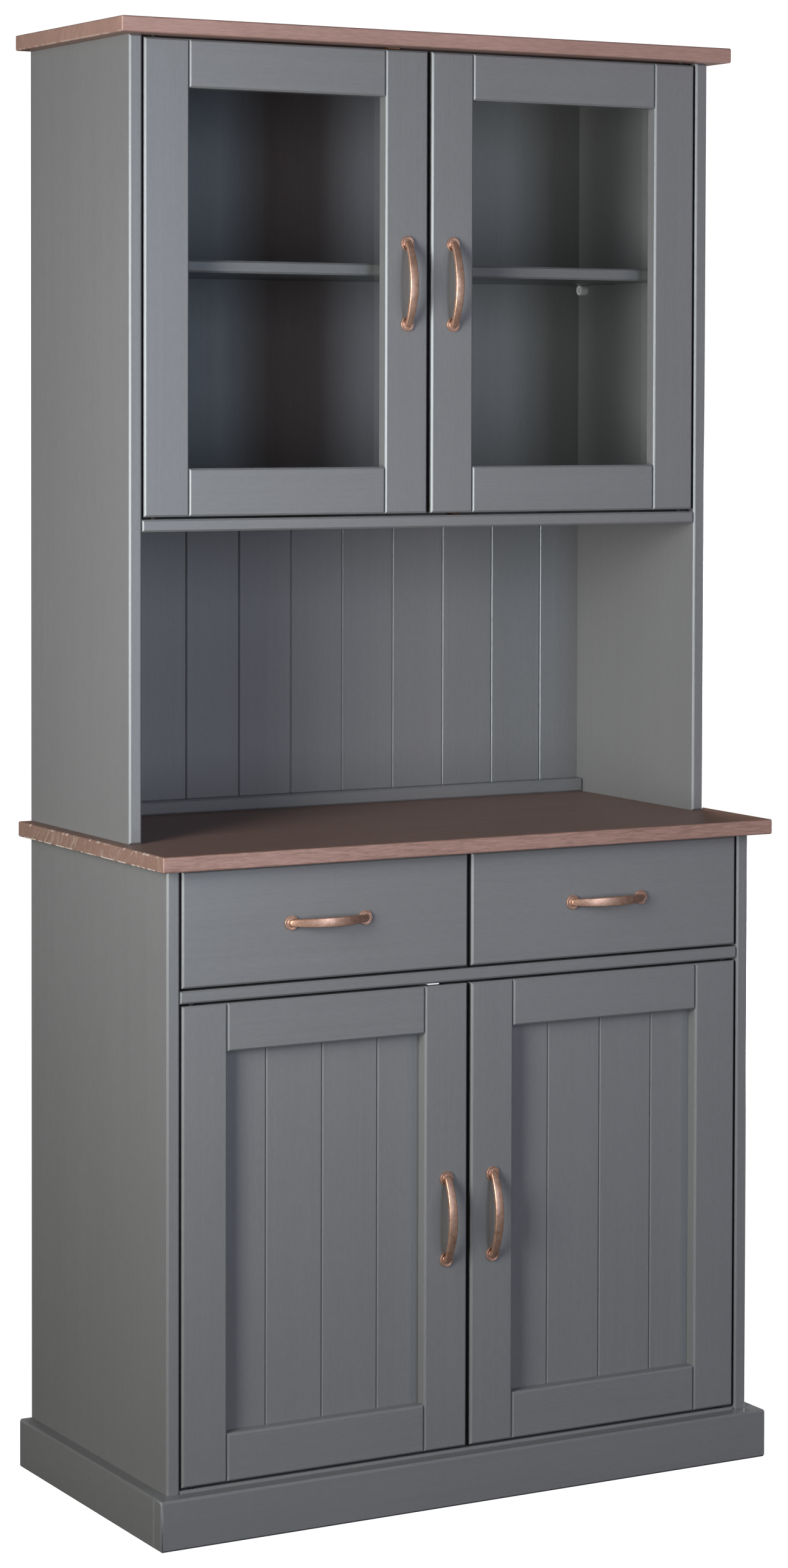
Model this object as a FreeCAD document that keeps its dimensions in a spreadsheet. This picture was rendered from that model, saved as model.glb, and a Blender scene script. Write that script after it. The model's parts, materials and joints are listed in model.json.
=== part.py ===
import FreeCAD, Part
import os
import re
from collections import defaultdict

import Sketcher
from FreeCAD import Rotation, Vector

# Step back cupboard in painted pine: a shallow glazed upper case on a deeper base with drawers and doors.
# Frame: origin on the floor under the middle of the whole, +Z up, the front faces -Y, millimetres.

SIZES = {
    # Cases
    "case_width": 862,
    "upper_depth": 310,
    "lower_depth": 421,
    "side_thick": 18,
    "board_thick": 16,
    "top_thick": 20,
    "worktop_thick": 20,
    "top_overhang": 26,
    "top_side_overhang": 22,
    "worktop_overhang": 29,
    "worktop_side_overhang": 19,
    "niche_height": 393,
    "arris": 2.5,
    # Plinth
    "plinth_height": 64,
    "plinth_side_thick": 18,
    "plinth_front_thick": 22,
    "floor_lift": 3,
    # Backs
    "rebate_depth": 6,
    "rebate_width": 9,
    "back_thick": 4,
    "lining_thick": 6,
    "lining_shift": -7.5,
    "foot_rail_depth": 18,
    "foot_rail_height": 19,
    # Tongued and grooved boards
    "face_width": 79.6,
    "vee": 1.7,
    "tongue_length": 5,
    "tongue_thick": 2.4,
    # Doors
    "door_thick": 24,
    "door_gap": 3,
    "middle_gap": 6,
    "upper_door_height": 602,
    "lower_door_height": 602,
    "stile_width": 62.5,
    "rail_height": 61,
    "tenon_length": 20,
    "tenon_thick": 6,
    "tenon_shoulder": 10,
    "pocket_depth": 6.5,
    "pocket_lap": 8,
    "glass_thick": 4,
    "bead_width": 4,
    "panel_thick": 6.5,
    "left_panel_shift": 1,
    "right_panel_shift": 1.5,
    # Door pivots
    "pivot_inset": 16,
    "pivot_setback": 8.5,
    "pin_radius": 3,
    "pin_depth": 10,
    "collar_radius": 4.2,
    "bush_radius": 4.5,
    "bush_length": 13,
    # Door stops
    "stop_offset": 52,
    "stop_width": 16,
    "stop_plate": 2,
    "left_stop_cover": 21.5,
    "right_stop_cover": 6,
    "stop_lip_depth": 8,
    "stop_lip_height": 10,
    # Drawers
    "drawer_front_height": 146,
    "drawer_front_thick": 20,
    "divider_thick": 16,
    "divider_setback": 2,
    "box_length": 360,
    "box_height": 105,
    "box_lift": 8,
    "box_side_thick": 13,
    "housing_depth": 8,
    "drawer_side_gap": 3,
    "bottom_thick": 4,
    "bottom_lift": 8,
    "bottom_groove": 5,
    "runner_thick": 9,
    "runner_height": 12,
    "runner_length": 370,
    "runner_setback": 10,
    # Shelves
    "shelf_rise": 313,
    "shelf_setback": 40,
    "lower_shelf_rise": 290,
    "lower_shelf_setback": 60,
    "shelf_gap": 1,
    "support_radius": 7,
    "support_length": 12,
    "support_bore": 2.5,
    "support_inset": 20,
    "peg_radius": 4,
    "peg_length": 9,
    # Handles and their screws
    "handle_spacing": 105,
    "handle_drop": 2,
    "handle_projection": 22,
    "bow_thick": 5,
    "bow_width": 12,
    "bow_end_width": 9,
    "bow_end_height": 5,
    "rosette_radius": 9.4,
    "rosette_thick": 2.8,
    "rosette_rim": 1.4,
    "rosette_dish": 1.2,
    "boss_radius": 5.4,
    "screw_radius": 2,
    "screw_reach": 6,
    "screw_head_radius": 4,
    "screw_head_height": 2.4,
    # Dowels
    "dowel_radius": 4,
    "dowel_length": 30,
    "dowel_sink": 10,
    "upper_dowel_inset": 60,
    "lower_dowel_inset": 90,
    # Clearances
    "fit_gap": 0.15,
    "press_gap": 0.05,
    "pin_gap": 0.08,
    "run_gap": 0.3,
    "screw_gap": 0.25,
    "cut_margin": 5,
}

# Places and sizes that follow from the driving dimensions.
DERIVED = {
    "half_case": "case_width / 2",
    "half_inside": "half_case - side_thick",
    "back": "(lower_depth + worktop_overhang) / 2",
    "upper_front": "back - upper_depth",
    "lower_front": "back - lower_depth",
    "lining_y": "back - rebate_depth",
    "lining_half": "half_inside + rebate_width - fit_gap",
    "floor_top": "plinth_height + floor_lift",
    "lower_door_z": "floor_top + door_gap",
    "drawer_board_z": "lower_door_z + lower_door_height + door_gap",
    "drawer_z": "drawer_board_z + board_thick + door_gap",
    "worktop_z": "drawer_z + drawer_front_height + door_gap",
    "worktop_top": "worktop_z + worktop_thick",
    "upper_floor_z": "worktop_top + niche_height",
    "upper_door_z": "upper_floor_z + board_thick + door_gap",
    "top_z": "upper_door_z + upper_door_height + door_gap",
    "back_joint_z": "upper_floor_z + board_thick / 2",
    "shelf_z": "upper_floor_z + board_thick + shelf_rise",
    "lower_shelf_z": "floor_top + lower_shelf_rise",
    "door_width": "half_inside - door_gap - middle_gap / 2",
    "opening_width": "door_width - 2 * stile_width",
    "pocket_width": "opening_width + 2 * pocket_lap",
    "lip_thick": "door_thick - pocket_depth",
    "bay_width": "half_inside - divider_thick / 2",
    "box_z": "drawer_z + box_lift",
    "box_width": "bay_width - 2 * drawer_side_gap",
    "box_front": "lower_front + drawer_front_thick",
    "runner_z": "box_z + (box_height - runner_height) / 2",
    "bow_half": "(handle_spacing + bow_end_width) / 2",
    "bow_rise": "handle_projection - bow_end_height",
    "bow_radius": "(bow_half ^ 2 + bow_rise ^ 2) / (2 * bow_rise)",
    "waist_rise": "(bow_width - bow_end_width) / 2",
    "waist_radius": "((handle_spacing / 2) ^ 2 + waist_rise ^ 2) / (2 * waist_rise)",
}

DOORS = {
    "upper": {"front": "upper_front", "bottom": "upper_door_z", "height": "upper_door_height"},
    "lower": {"front": "lower_front", "bottom": "lower_door_z", "height": "lower_door_height"},
}
DOOR_BOARDS = {
    "upper": {"below": "upper_bottom_board", "above": "top_board"},
    "lower": {"below": "lower_bottom_board", "above": "drawer_board"},
}
SIDES = ("left", "right")

DIRECTIONS = {
    "left": Vector(-1, 0, 0),
    "right": Vector(1, 0, 0),
    "front": Vector(0, -1, 0),
}
TURNS = {
    "x": Rotation(Vector(0, 1, 0), 90),
    "y": Rotation(Vector(1, 0, 0), -90),
    "z": Rotation(),
}

doc = FreeCAD.newDocument("step_back_cupboard")
sheet = doc.addObject("Spreadsheet::Sheet", "Sizes")
for row, (alias, size) in enumerate(SIZES.items(), 1):
    sheet.set(f"A{row}", alias)
    sheet.set(f"B{row}", str(size))
    sheet.setAlias(f"B{row}", alias)
doc.recompute()

nodes = {}
blanks = {}
cutters = defaultdict(list)


def expression(text):
    """The sheet expression for a text that uses the names of sizes and derived sizes."""

    def swap(match):
        word = match.group(0)
        if word in DERIVED:
            return f"({expression(DERIVED[word])})"
        return f"Sizes.{word}" if word in SIZES else word

    return re.sub(r"[a-z][a-z_]*", swap, text)


def measure(text):
    """The present value of such a text, for counts of repeated pieces."""
    return float(sheet.evalExpression(expression(text)))


def bind(item, **properties):
    for name, text in properties.items():
        item.setExpression(name, expression(text))


def place(item, corner, turn=TURNS["z"]):
    item.Placement = FreeCAD.Placement(Vector(), turn)
    for axis, text in zip("xyz", corner):
        item.setExpression(f"Placement.Base.{axis}", expression(text))


def block(name, corner, size):
    item = doc.addObject("Part::Box", name)
    bind(item, Length=size[0], Width=size[1], Height=size[2])
    place(item, corner)
    return item


def rod(name, start, radius, length, axis):
    """A cylinder that runs from its start along an axis."""
    item = doc.addObject("Part::Cylinder", name)
    bind(item, Radius=radius, Height=length)
    place(item, start, TURNS[axis])
    return item


def group(name, pieces):
    item = doc.addObject("Part::Compound", name)
    item.Links = pieces
    return item


def fuse(name, pieces):
    item = doc.addObject("Part::MultiFuse", name)
    item.Shapes = pieces
    item.Refine = True
    return item


def common(name, pieces):
    item = doc.addObject("Part::MultiCommon", name)
    item.Shapes = pieces
    return item


def cut(name, base, tools):
    item = doc.addObject("Part::Cut", name)
    item.Base = base
    item.Tool = tools[0] if len(tools) == 1 else group(f"{name}_tools", tools)
    return item


def keep(name, item):
    """Make an object one of the finished pieces."""
    item.Label = name
    nodes[name] = item
    return item


def rectangle(body, name, width, depth):
    """A sketch in the body's floor plane of a rectangle from the origin."""
    sketch = body.newObject("Sketcher::SketchObject", name)
    floor_plane = next(plane for plane in body.Origin.OriginFeatures if plane.Role == "XY_Plane")
    sketch.AttachmentSupport = [(floor_plane, "")]
    sketch.MapMode = "FlatFace"
    corners = [Vector(0, 0), Vector(9, 0), Vector(9, 9), Vector(0, 9)]
    for start, end in zip(corners, corners[1:] + corners[:1]):
        sketch.addGeometry(Part.LineSegment(start, end))
    for line in range(4):
        sketch.addConstraint(Sketcher.Constraint("Coincident", line, 2, (line + 1) % 4, 1))
        direction = "Vertical" if line % 2 else "Horizontal"
        sketch.addConstraint(Sketcher.Constraint(direction, line))
    sketch.addConstraint(Sketcher.Constraint("Coincident", 0, 1, -1, 1))
    for line, label, text in ((0, "width", width), (1, "depth", depth)):
        index = sketch.addConstraint(Sketcher.Constraint("Distance", line, 9))
        sketch.renameConstraint(index, label)
        sketch.setExpression(f"Constraints.{label}", expression(text))
    return sketch


def plank(name, corner, size):
    """A body with one padded rectangle, and that pad."""
    body = doc.addObject("PartDesign::Body", name)
    pad = body.newObject("PartDesign::Pad", f"{name}_pad")
    pad.Profile = rectangle(body, f"{name}_outline", size[0], size[1])
    bind(pad, Length=size[2])
    place(body, corner)
    doc.recompute()
    return body, pad


def board(name, corner, size, trimmed=("front",), rounded=False):
    """A board whose arrises are taken off round the named faces, flat or in a round."""
    body, pad = plank(name, corner, size)
    facing = [DIRECTIONS[side] for side in trimmed]
    faces = []
    for index, face in enumerate(pad.Shape.Faces, 1):
        if any(face.normalAt(0, 0).isEqual(direction, 1e-6) for direction in facing):
            faces.append(f"Face{index}")
    kind, measured = ("Fillet", "Radius") if rounded else ("Chamfer", "Size")
    trim = body.newObject(f"PartDesign::{kind}", f"{name}_arris")
    trim.Base = (pad, faces)
    bind(trim, **{measured: "arris"})
    body.Tip = trim
    return body


def vee_board(name, corner, size):
    """A board with a chamfer along both upright edges of its face."""
    body, pad = plank(name, corner, size)
    edges = []
    for index, edge in enumerate(pad.Shape.Edges, 1):
        start, end = (vertex.Point for vertex in edge.Vertexes)
        upright = abs(start.z - end.z) > 1e-6
        if upright and abs(start.y) < 1e-6:
            edges.append(f"Edge{index}")
    chamfer = body.newObject("PartDesign::Chamfer", f"{name}_vee")
    chamfer.Base = (pad, edges)
    bind(chamfer, Size="vee")
    body.Tip = chamfer
    return body


def matched_boards(name, joints, face_y, thick, bottom, height):
    """Upright boards side by side, each one's tongue in the next one's groove."""
    tongue_y = f"{face_y} + {thick} / 2 - tongue_thick / 2"
    boards = []
    for index, (left, right) in enumerate(zip(joints, joints[1:])):
        label = f"{name}_{index + 1}"
        piece = vee_board(f"{label}_blank", (left, face_y, bottom), (f"{right} - ({left})", thick, height))
        if index < len(joints) - 2:
            tongue = block(
                f"{label}_tongue",
                (right, tongue_y, bottom),
                ("tongue_length - fit_gap", "tongue_thick", height),
            )
            piece = fuse(f"{label}_tongued", [piece, tongue])
        if index > 0:
            groove = block(
                f"{label}_groove",
                (left, f"{tongue_y} - fit_gap", f"{bottom} - cut_margin"),
                ("tongue_length", "tongue_thick + 2 * fit_gap", f"{height} + 2 * cut_margin"),
            )
            piece = cut(label, piece, [groove])
        boards.append(piece)
    return keep(name, group(name, boards))


def across(side, distance, width):
    """Left end of a piece of that width which starts a distance in from a side panel's inner face."""
    if side == "left":
        return f"-half_inside + {distance}"
    return f"half_inside - ({distance}) - ({width})"


def mirrored(side, offset):
    """An offset from the middle towards a side."""
    return f"-({offset})" if side == "left" else offset


def case_board(name, corner, size, trimmed=("front",), rounded=False):
    blanks[name] = board(f"{name}_blank", corner, size, trimmed, rounded)


def level_board(name, front, bottom):
    """A floor between the side panels, from the front to the back panel."""
    size = ("2 * half_inside", f"lining_y - ({front})", "board_thick")
    case_board(name, ("-half_inside", front, bottom), size)


def side_panel(name, side, front, bottom, top):
    """A side panel with a rebate along its back inner edge."""
    left_end = "-half_case" if side == "left" else "half_inside"
    size = ("side_thick", f"back - ({front})", f"{top} - ({bottom})")
    case_board(name, (left_end, front, bottom), size)
    rebate_left = "-half_inside - rebate_width" if side == "left" else "half_inside - cut_margin"
    rebate = block(
        f"{name}_rebate",
        (rebate_left, "lining_y", f"{bottom} - cut_margin"),
        ("rebate_width + cut_margin", "rebate_depth + cut_margin", f"{top} - ({bottom}) + 2 * cut_margin"),
    )
    cutters[name].append(rebate)


def back_panel(name, bottom, top):
    corner = ("-lining_half", "lining_y", bottom)
    keep(name, block(name, corner, ("2 * lining_half", "back_thick", f"{top} - ({bottom})")))


def shelf(name, front, setback, bottom):
    half = "half_inside - shelf_gap"
    front_edge = f"{front} + {setback}"
    size = (f"2 * ({half})", f"lining_y - shelf_gap - ({front_edge})", "board_thick")
    keep(name, board(name, (f"-({half})", front_edge, bottom), size))


def make_cases():
    for side in SIDES:
        side_panel(f"lower_side_{side}", side, "lower_front", "0", "worktop_z")
        side_panel(f"upper_side_{side}", side, "upper_front", "worktop_top", "top_z")
    level_board("lower_bottom_board", "lower_front", "floor_top - board_thick")
    level_board("drawer_board", "lower_front", "drawer_board_z")
    level_board("upper_bottom_board", "upper_front", "upper_floor_z")
    overhanging = ("front", "left", "right")
    case_board(
        "worktop",
        ("-half_case - worktop_side_overhang", "lower_front - worktop_overhang", "worktop_z"),
        ("case_width + 2 * worktop_side_overhang", "lower_depth + worktop_overhang", "worktop_thick"),
        overhanging,
        rounded=True,
    )
    case_board(
        "top_board",
        ("-half_case - top_side_overhang", "upper_front - top_overhang", "top_z"),
        ("case_width + 2 * top_side_overhang", "upper_depth + top_overhang", "top_thick"),
        overhanging,
        rounded=True,
    )
    divider_front = "box_front + divider_setback"
    case_board(
        "drawer_divider",
        ("-divider_thick / 2", divider_front, "drawer_board_z + board_thick"),
        ("divider_thick", f"lining_y - ({divider_front})", "worktop_z - drawer_board_z - board_thick"),
    )
    shelf("upper_shelf", "upper_front", "shelf_setback", "shelf_z")
    shelf("lower_shelf", "lower_front", "lower_shelf_setback", "lower_shelf_z")


def make_backs():
    back_panel("lower_back_panel", "floor_top - board_thick", "worktop_z")
    back_panel("upper_back_panel", "back_joint_z", "top_z")
    reach = measure("lining_half - face_width / 2") - abs(measure("lining_shift"))
    each_side = int(reach // measure("face_width"))
    joints = [f"lining_shift + {count + 0.5} * face_width" for count in range(-each_side - 1, each_side + 1)]
    joints = ["-lining_half", *joints, "lining_half"]
    height = "back_joint_z - worktop_top"
    matched_boards("niche_back_boards", joints, "lining_y", "lining_thick", "worktop_top", height)
    foot_corner = ("-half_inside", "lining_y - foot_rail_depth", "worktop_top")
    foot_size = ("2 * half_inside", "foot_rail_depth", "foot_rail_height")
    keep("niche_foot_rail", board("niche_foot_rail", foot_corner, foot_size))


def make_plinth():
    front_corner = ("-half_case - plinth_side_thick", "lower_front - plinth_front_thick", "0")
    front_size = ("case_width + 2 * plinth_side_thick", "plinth_front_thick", "plinth_height")
    keep("plinth_front", board("plinth_front", front_corner, front_size, ("front", "left", "right")))
    boards = []
    for side in SIDES:
        left_end = "-half_case - plinth_side_thick" if side == "left" else "half_case"
        size = ("plinth_side_thick", "lower_depth", "plinth_height")
        boards.append(board(f"plinth_side_{side}", (left_end, "lower_front", "0"), size, (side,)))
    keep("plinth_sides", group("plinth_sides", boards))


def make_shelf_supports():
    """Plastic bushes with a peg in the side panels, four under each shelf."""
    supports = []
    places = {
        "upper": ("upper_front + shelf_setback", "shelf_z"),
        "lower": ("lower_front + lower_shelf_setback", "lower_shelf_z"),
    }
    for level, (shelf_front, underside) in places.items():
        rows = {"front": f"{shelf_front} + support_inset", "back": "lining_y - support_inset"}
        for side in SIDES:
            for end, y in rows.items():
                name = f"{level}_{side}_{end}_support"
                z = f"{underside} - support_radius"
                head_x = across(side, "0", "support_length")
                peg_x = across(side, "-peg_length", "peg_length")
                hole_x = across(side, "-peg_length - press_gap", "peg_length + press_gap + cut_margin")
                head = rod(f"{name}_head", (head_x, y, z), "support_radius", "support_length", "x")
                bore = rod(f"{name}_bore", (head_x, y, z), "support_bore", "support_length", "x")
                peg = rod(f"{name}_peg", (peg_x, y, z), "peg_radius", "peg_length", "x")
                hole = rod(f"{name}_hole", (hole_x, y, z), "peg_radius + press_gap",
                           "peg_length + press_gap + cut_margin", "x")
                cutters[f"{level}_side_{side}"].append(hole)
                supports.append(fuse(name, [cut(f"{name}_bush", head, [bore]), peg]))
    keep("shelf_supports", group("shelf_supports", supports))


def make_dowels():
    """Dowels that join the boards of the cases."""
    dowels = []

    def dowel(name, sunk_in, end_of, face, axis, outward):
        """One dowel: sunk in a board's face, with the rest of its length in another board's end."""
        across_axis = "xyz".index(axis)
        along = "dowel_sink" if outward < 0 else "dowel_length - dowel_sink"
        start = list(face)
        start[across_axis] = f"{face[across_axis]} - ({along})"
        hole_start = list(start)
        hole_start[across_axis] = f"{start[across_axis]} - run_gap"
        dowels.append(rod(name, start, "dowel_radius", "dowel_length", axis))
        hole = rod(f"{name}_hole", hole_start, "dowel_radius + fit_gap", "dowel_length + 2 * run_gap", axis)
        cutters[sunk_in].append(hole)
        cutters[end_of].append(hole)

    rows = {
        "upper": {"front": "upper_front + upper_dowel_inset", "back": "back - upper_dowel_inset"},
        "lower": {"front": "lower_front + lower_dowel_inset", "back": "back - lower_dowel_inset"},
    }
    middle_of_side = "half_case - side_thick / 2"
    upright_joints = (
        ("upper", "top_board", "top_z", 1),
        ("upper", "worktop", "worktop_top", -1),
        ("lower", "worktop", "worktop_z", 1),
    )
    level_joints = (
        ("upper", "upper_bottom_board", "upper_floor_z + board_thick / 2"),
        ("lower", "drawer_board", "drawer_board_z + board_thick / 2"),
        ("lower", "lower_bottom_board", "floor_top - board_thick / 2"),
    )
    divider_joints = (
        ("worktop", "worktop_z", 1),
        ("drawer_board", "drawer_board_z + board_thick", -1),
    )
    for side in SIDES:
        outward = -1 if side == "left" else 1
        for level, face_board, z, up in upright_joints:
            for end, y in rows[level].items():
                name = f"dowel_{level}_{face_board}_{side}_{end}"
                face = (mirrored(side, middle_of_side), y, z)
                dowel(name, face_board, f"{level}_side_{side}", face, "z", up)
        for level, end_board, z in level_joints:
            for end, y in rows[level].items():
                face = (mirrored(side, "half_inside"), y, z)
                name = f"dowel_{end_board}_{side}_{end}"
                dowel(name, f"{level}_side_{side}", end_board, face, "x", outward)
    for face_board, z, up in divider_joints:
        for end, y in rows["lower"].items():
            dowel(f"dowel_divider_{face_board}_{end}", face_board, "drawer_divider", ("0", y, z), "z", up)
    keep("case_dowels", group("case_dowels", dowels))


def make_handle():
    """One bow handle upright at the origin, its rosettes on the plane y = 0."""
    bow_centre = ("-bow_width / 2", "bow_radius - handle_projection", "0")
    ring_outside = rod("ring_outside", bow_centre, "bow_radius", "bow_width", "x")
    ring_inside = rod("ring_inside", bow_centre, "bow_radius - bow_thick", "bow_width", "x")
    ring = cut("bow_ring", ring_outside, [ring_inside])
    waists = []
    for side in SIDES:
        centre = (mirrored(side, "waist_radius - bow_width / 2"), "-handle_projection", "0")
        waists.append(rod(f"waist_{side}", centre, "waist_radius", "handle_projection", "y"))
    middle = block(
        "bow_middle",
        ("-bow_width / 2", "-handle_projection", "-handle_spacing / 2"),
        ("bow_width", "handle_projection", "handle_spacing"),
    )
    outline = [common("bow_waist", [*waists, middle])]
    feet = []
    bores = []
    for end, z in (("top", "handle_spacing / 2"), ("bottom", "-handle_spacing / 2")):
        outline.append(rod(f"bow_{end}", ("0", "-handle_projection", z), "bow_end_width / 2",
                           "handle_projection", "y"))
        feet.append(rod(f"foot_{end}", ("0", "-bow_end_height", z), "bow_end_width / 2",
                        "bow_end_height", "y"))
        disc = rod(f"disc_{end}", ("0", "-rosette_thick", z), "rosette_radius", "rosette_thick", "y")
        dish = rod(f"dish_{end}", ("0", "-rosette_thick", z), "rosette_radius - rosette_rim",
                   "rosette_dish", "y")
        boss = rod(f"boss_{end}", ("0", "-rosette_thick", z), "boss_radius", "rosette_thick", "y")
        feet.append(cut(f"rosette_{end}", disc, [cut(f"dish_ring_{end}", dish, [boss])]))
        bores.append(rod(f"handle_bore_{end}", ("0", "-screw_reach - run_gap", z),
                         "screw_radius + press_gap", "screw_reach + run_gap", "y"))
    bow = common("bow", [ring, fuse("bow_outline", outline)])
    return cut("handle_pattern", fuse("handle_blank", [bow, *feet]), bores)


def fit_handle(owner, pattern, centre, thick, level):
    """A handle on a front, its two screws from behind, and the screw holes for the front."""
    handle = group(f"{owner}_handle", [pattern])
    place(handle, centre, TURNS["x"] if level else TURNS["z"])
    keep(f"{owner}_handle", handle)
    along = "xyz".index("x" if level else "z")
    screws = []
    holes = []
    for end, sign in (("first", "-"), ("second", "+")):
        name = f"{owner}_screw_{end}"
        tip = list(centre)
        tip[along] = f"{centre[along]} {sign} handle_spacing / 2"
        face = centre[1]
        tip[1] = f"{face} - screw_reach"
        shank = rod(f"{name}_shank", tip, "screw_radius", f"screw_reach + {thick}", "y")
        head_start = [tip[0], f"{face} + {thick}", tip[2]]
        head = rod(f"{name}_head", head_start, "screw_head_radius", "screw_head_height", "y")
        screws.append(fuse(name, [shank, head]))
        hole_start = [tip[0], f"{face} - cut_margin", tip[2]]
        holes.append(rod(f"{name}_hole", hole_start, "screw_radius + screw_gap",
                         f"{thick} + 2 * cut_margin", "y"))
    keep(f"{owner}_handle_screws", group(f"{owner}_handle_screws", screws))
    return holes


def fit_pivots(owner, side, level):
    """Pins in the boards above and below a door, bushes in the door, and the bush holes for its stile."""
    door = DOORS[level]
    x = mirrored(side, "half_inside - door_gap - pivot_inset")
    y = f"{door['front']} + pivot_setback"
    top = f"{door['bottom']} + {door['height']}"
    ends = {
        "below": {
            "pin": f"{door['bottom']} - door_gap - pin_depth",
            "collar": f"{door['bottom']} - door_gap",
            "bush": door["bottom"],
        },
        "above": {
            "pin": f"{top} - pin_depth",
            "collar": f"{top} + run_gap",
            "bush": f"{top} - bush_length",
        },
    }
    pins = []
    bushes = []
    holes = []
    for end, starts in ends.items():
        name = f"{owner}_{end}"
        pin_length = "2 * pin_depth + door_gap"
        shank = rod(f"{name}_shank", (x, y, starts["pin"]), "pin_radius", pin_length, "z")
        collar = rod(f"{name}_collar", (x, y, starts["collar"]), "collar_radius", "door_gap - run_gap", "z")
        pins.append(fuse(f"{name}_pin", [shank, collar]))
        cutters[DOOR_BOARDS[level][end]].append(
            rod(f"{name}_pin_hole", (x, y, f"{starts['pin']} - run_gap"), "pin_radius + press_gap",
                f"{pin_length} + 2 * run_gap", "z")
        )
        tube = rod(f"{name}_tube", (x, y, starts["bush"]), "bush_radius", "bush_length", "z")
        bore = rod(f"{name}_bore", (x, y, starts["bush"]), "pin_radius + pin_gap", "bush_length", "z")
        bushes.append(cut(f"{name}_bush", tube, [bore]))
        hole_start = f"{starts['bush']} - {'cut_margin' if end == 'below' else 'press_gap'}"
        holes.append(rod(f"{name}_bush_hole", (x, y, hole_start), "bush_radius + press_gap",
                         "bush_length + cut_margin + press_gap", "z"))
    keep(f"{owner}_hinge_bushes", group(f"{owner}_hinge_bushes", bushes))
    return pins, holes


def door_frame(owner, side, level, meeting_holes, hinge_holes):
    """Two stiles and two rails, tenoned together and rebated behind for the panel."""
    door = DOORS[level]
    front = door["front"]
    bottom = door["bottom"]
    height = door["height"]
    opening_height = f"{height} - 2 * rail_height"
    pocket = block(
        f"{owner}_pocket",
        (across(side, "door_gap + stile_width - pocket_lap", "pocket_width"),
         f"{front} + lip_thick", f"{bottom} + rail_height - pocket_lap"),
        ("pocket_width", "pocket_depth + cut_margin", f"{opening_height} + 2 * pocket_lap"),
    )
    rails = []
    mortises = []
    for end, rail_z in (("bottom", bottom), ("top", f"{bottom} + {height} - rail_height")):
        name = f"{owner}_{end}_rail"
        rail_x = across(side, "door_gap + stile_width", "opening_width")
        rail_size = ("opening_width", "door_thick", "rail_height")
        rail = board(f"{name}_blank", (rail_x, front, rail_z), rail_size)
        tenon_corner = (f"{rail_x} - tenon_length", f"{front} + (lip_thick - tenon_thick) / 2",
                        f"{rail_z} + tenon_shoulder")
        tenon_size = ("opening_width + 2 * tenon_length", "tenon_thick", "rail_height - 2 * tenon_shoulder")
        tenon = block(f"{name}_tenon", tenon_corner, tenon_size)
        mortises.append(
            block(f"{name}_mortise",
                  [f"{place_text} - fit_gap" for place_text in tenon_corner],
                  [f"{size_text} + 2 * fit_gap" for size_text in tenon_size])
        )
        rails.append(cut(name, fuse(f"{name}_tenoned", [rail, tenon]), [pocket]))
    stiles = []
    stile_starts = {"hinge": "door_gap", "meeting": "door_gap + door_width - stile_width"}
    for edge, holes in (("hinge", hinge_holes), ("meeting", meeting_holes)):
        name = f"{owner}_{edge}_stile"
        stile_x = across(side, stile_starts[edge], "stile_width")
        stile = board(f"{name}_blank", (stile_x, front, bottom), ("stile_width", "door_thick", height))
        stiles.append(cut(name, stile, [pocket, *mortises, *holes]))
    keep(f"{owner}_stiles", group(f"{owner}_stiles", stiles))
    keep(f"{owner}_rails", group(f"{owner}_rails", rails))


def glaze(owner, side, level):
    """A pane in the frame's pocket, held by four beads behind it."""
    door = DOORS[level]
    pane_width = "pocket_width - 2 * fit_gap"
    pane_height = f"{door['height']} - 2 * (rail_height - pocket_lap + fit_gap)"
    x = across(side, "door_gap + stile_width - pocket_lap + fit_gap", pane_width)
    y = f"{door['front']} + lip_thick"
    z = f"{door['bottom']} + rail_height - pocket_lap + fit_gap"
    keep(f"{owner}_glass", block(f"{owner}_glass", (x, y, z), (pane_width, "glass_thick", pane_height)))
    bead_y = f"{y} + glass_thick"
    bead_depth = "pocket_depth - glass_thick"
    upright = ("bead_width", bead_depth, pane_height)
    level_bead = (f"{pane_width} - 2 * bead_width", bead_depth, "bead_width")
    level_x = f"{x} + bead_width"
    beads = [
        block(f"{owner}_bead_left", (x, bead_y, z), upright),
        block(f"{owner}_bead_right", (f"{x} + {pane_width} - bead_width", bead_y, z), upright),
        block(f"{owner}_bead_bottom", (level_x, bead_y, z), level_bead),
        block(f"{owner}_bead_top", (level_x, bead_y, f"{z} + {pane_height} - bead_width"), level_bead),
    ]
    keep(f"{owner}_glass_beads", group(f"{owner}_glass_beads", beads))


def board_panel(owner, side, level):
    """Tongued and grooved boards in the frame's pocket."""
    door = DOORS[level]
    half = "(pocket_width / 2 - fit_gap)"
    middle = mirrored(side, "(half_inside - door_gap - door_width / 2)")
    shift = f"{side}_panel_shift"
    each_side = int((measure(half) - abs(measure(shift))) // measure("face_width"))
    joints = [f"{middle} + {shift} + {count} * face_width" for count in range(-each_side, each_side + 1)]
    joints = [f"{middle} - {half}", *joints, f"{middle} + {half}"]
    matched_boards(
        f"{owner}_panel_boards",
        joints,
        f"{door['front']} + lip_thick",
        "panel_thick",
        f"{door['bottom']} + rail_height - pocket_lap + fit_gap",
        f"{door['height']} - 2 * (rail_height - pocket_lap + fit_gap)",
    )


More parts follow.
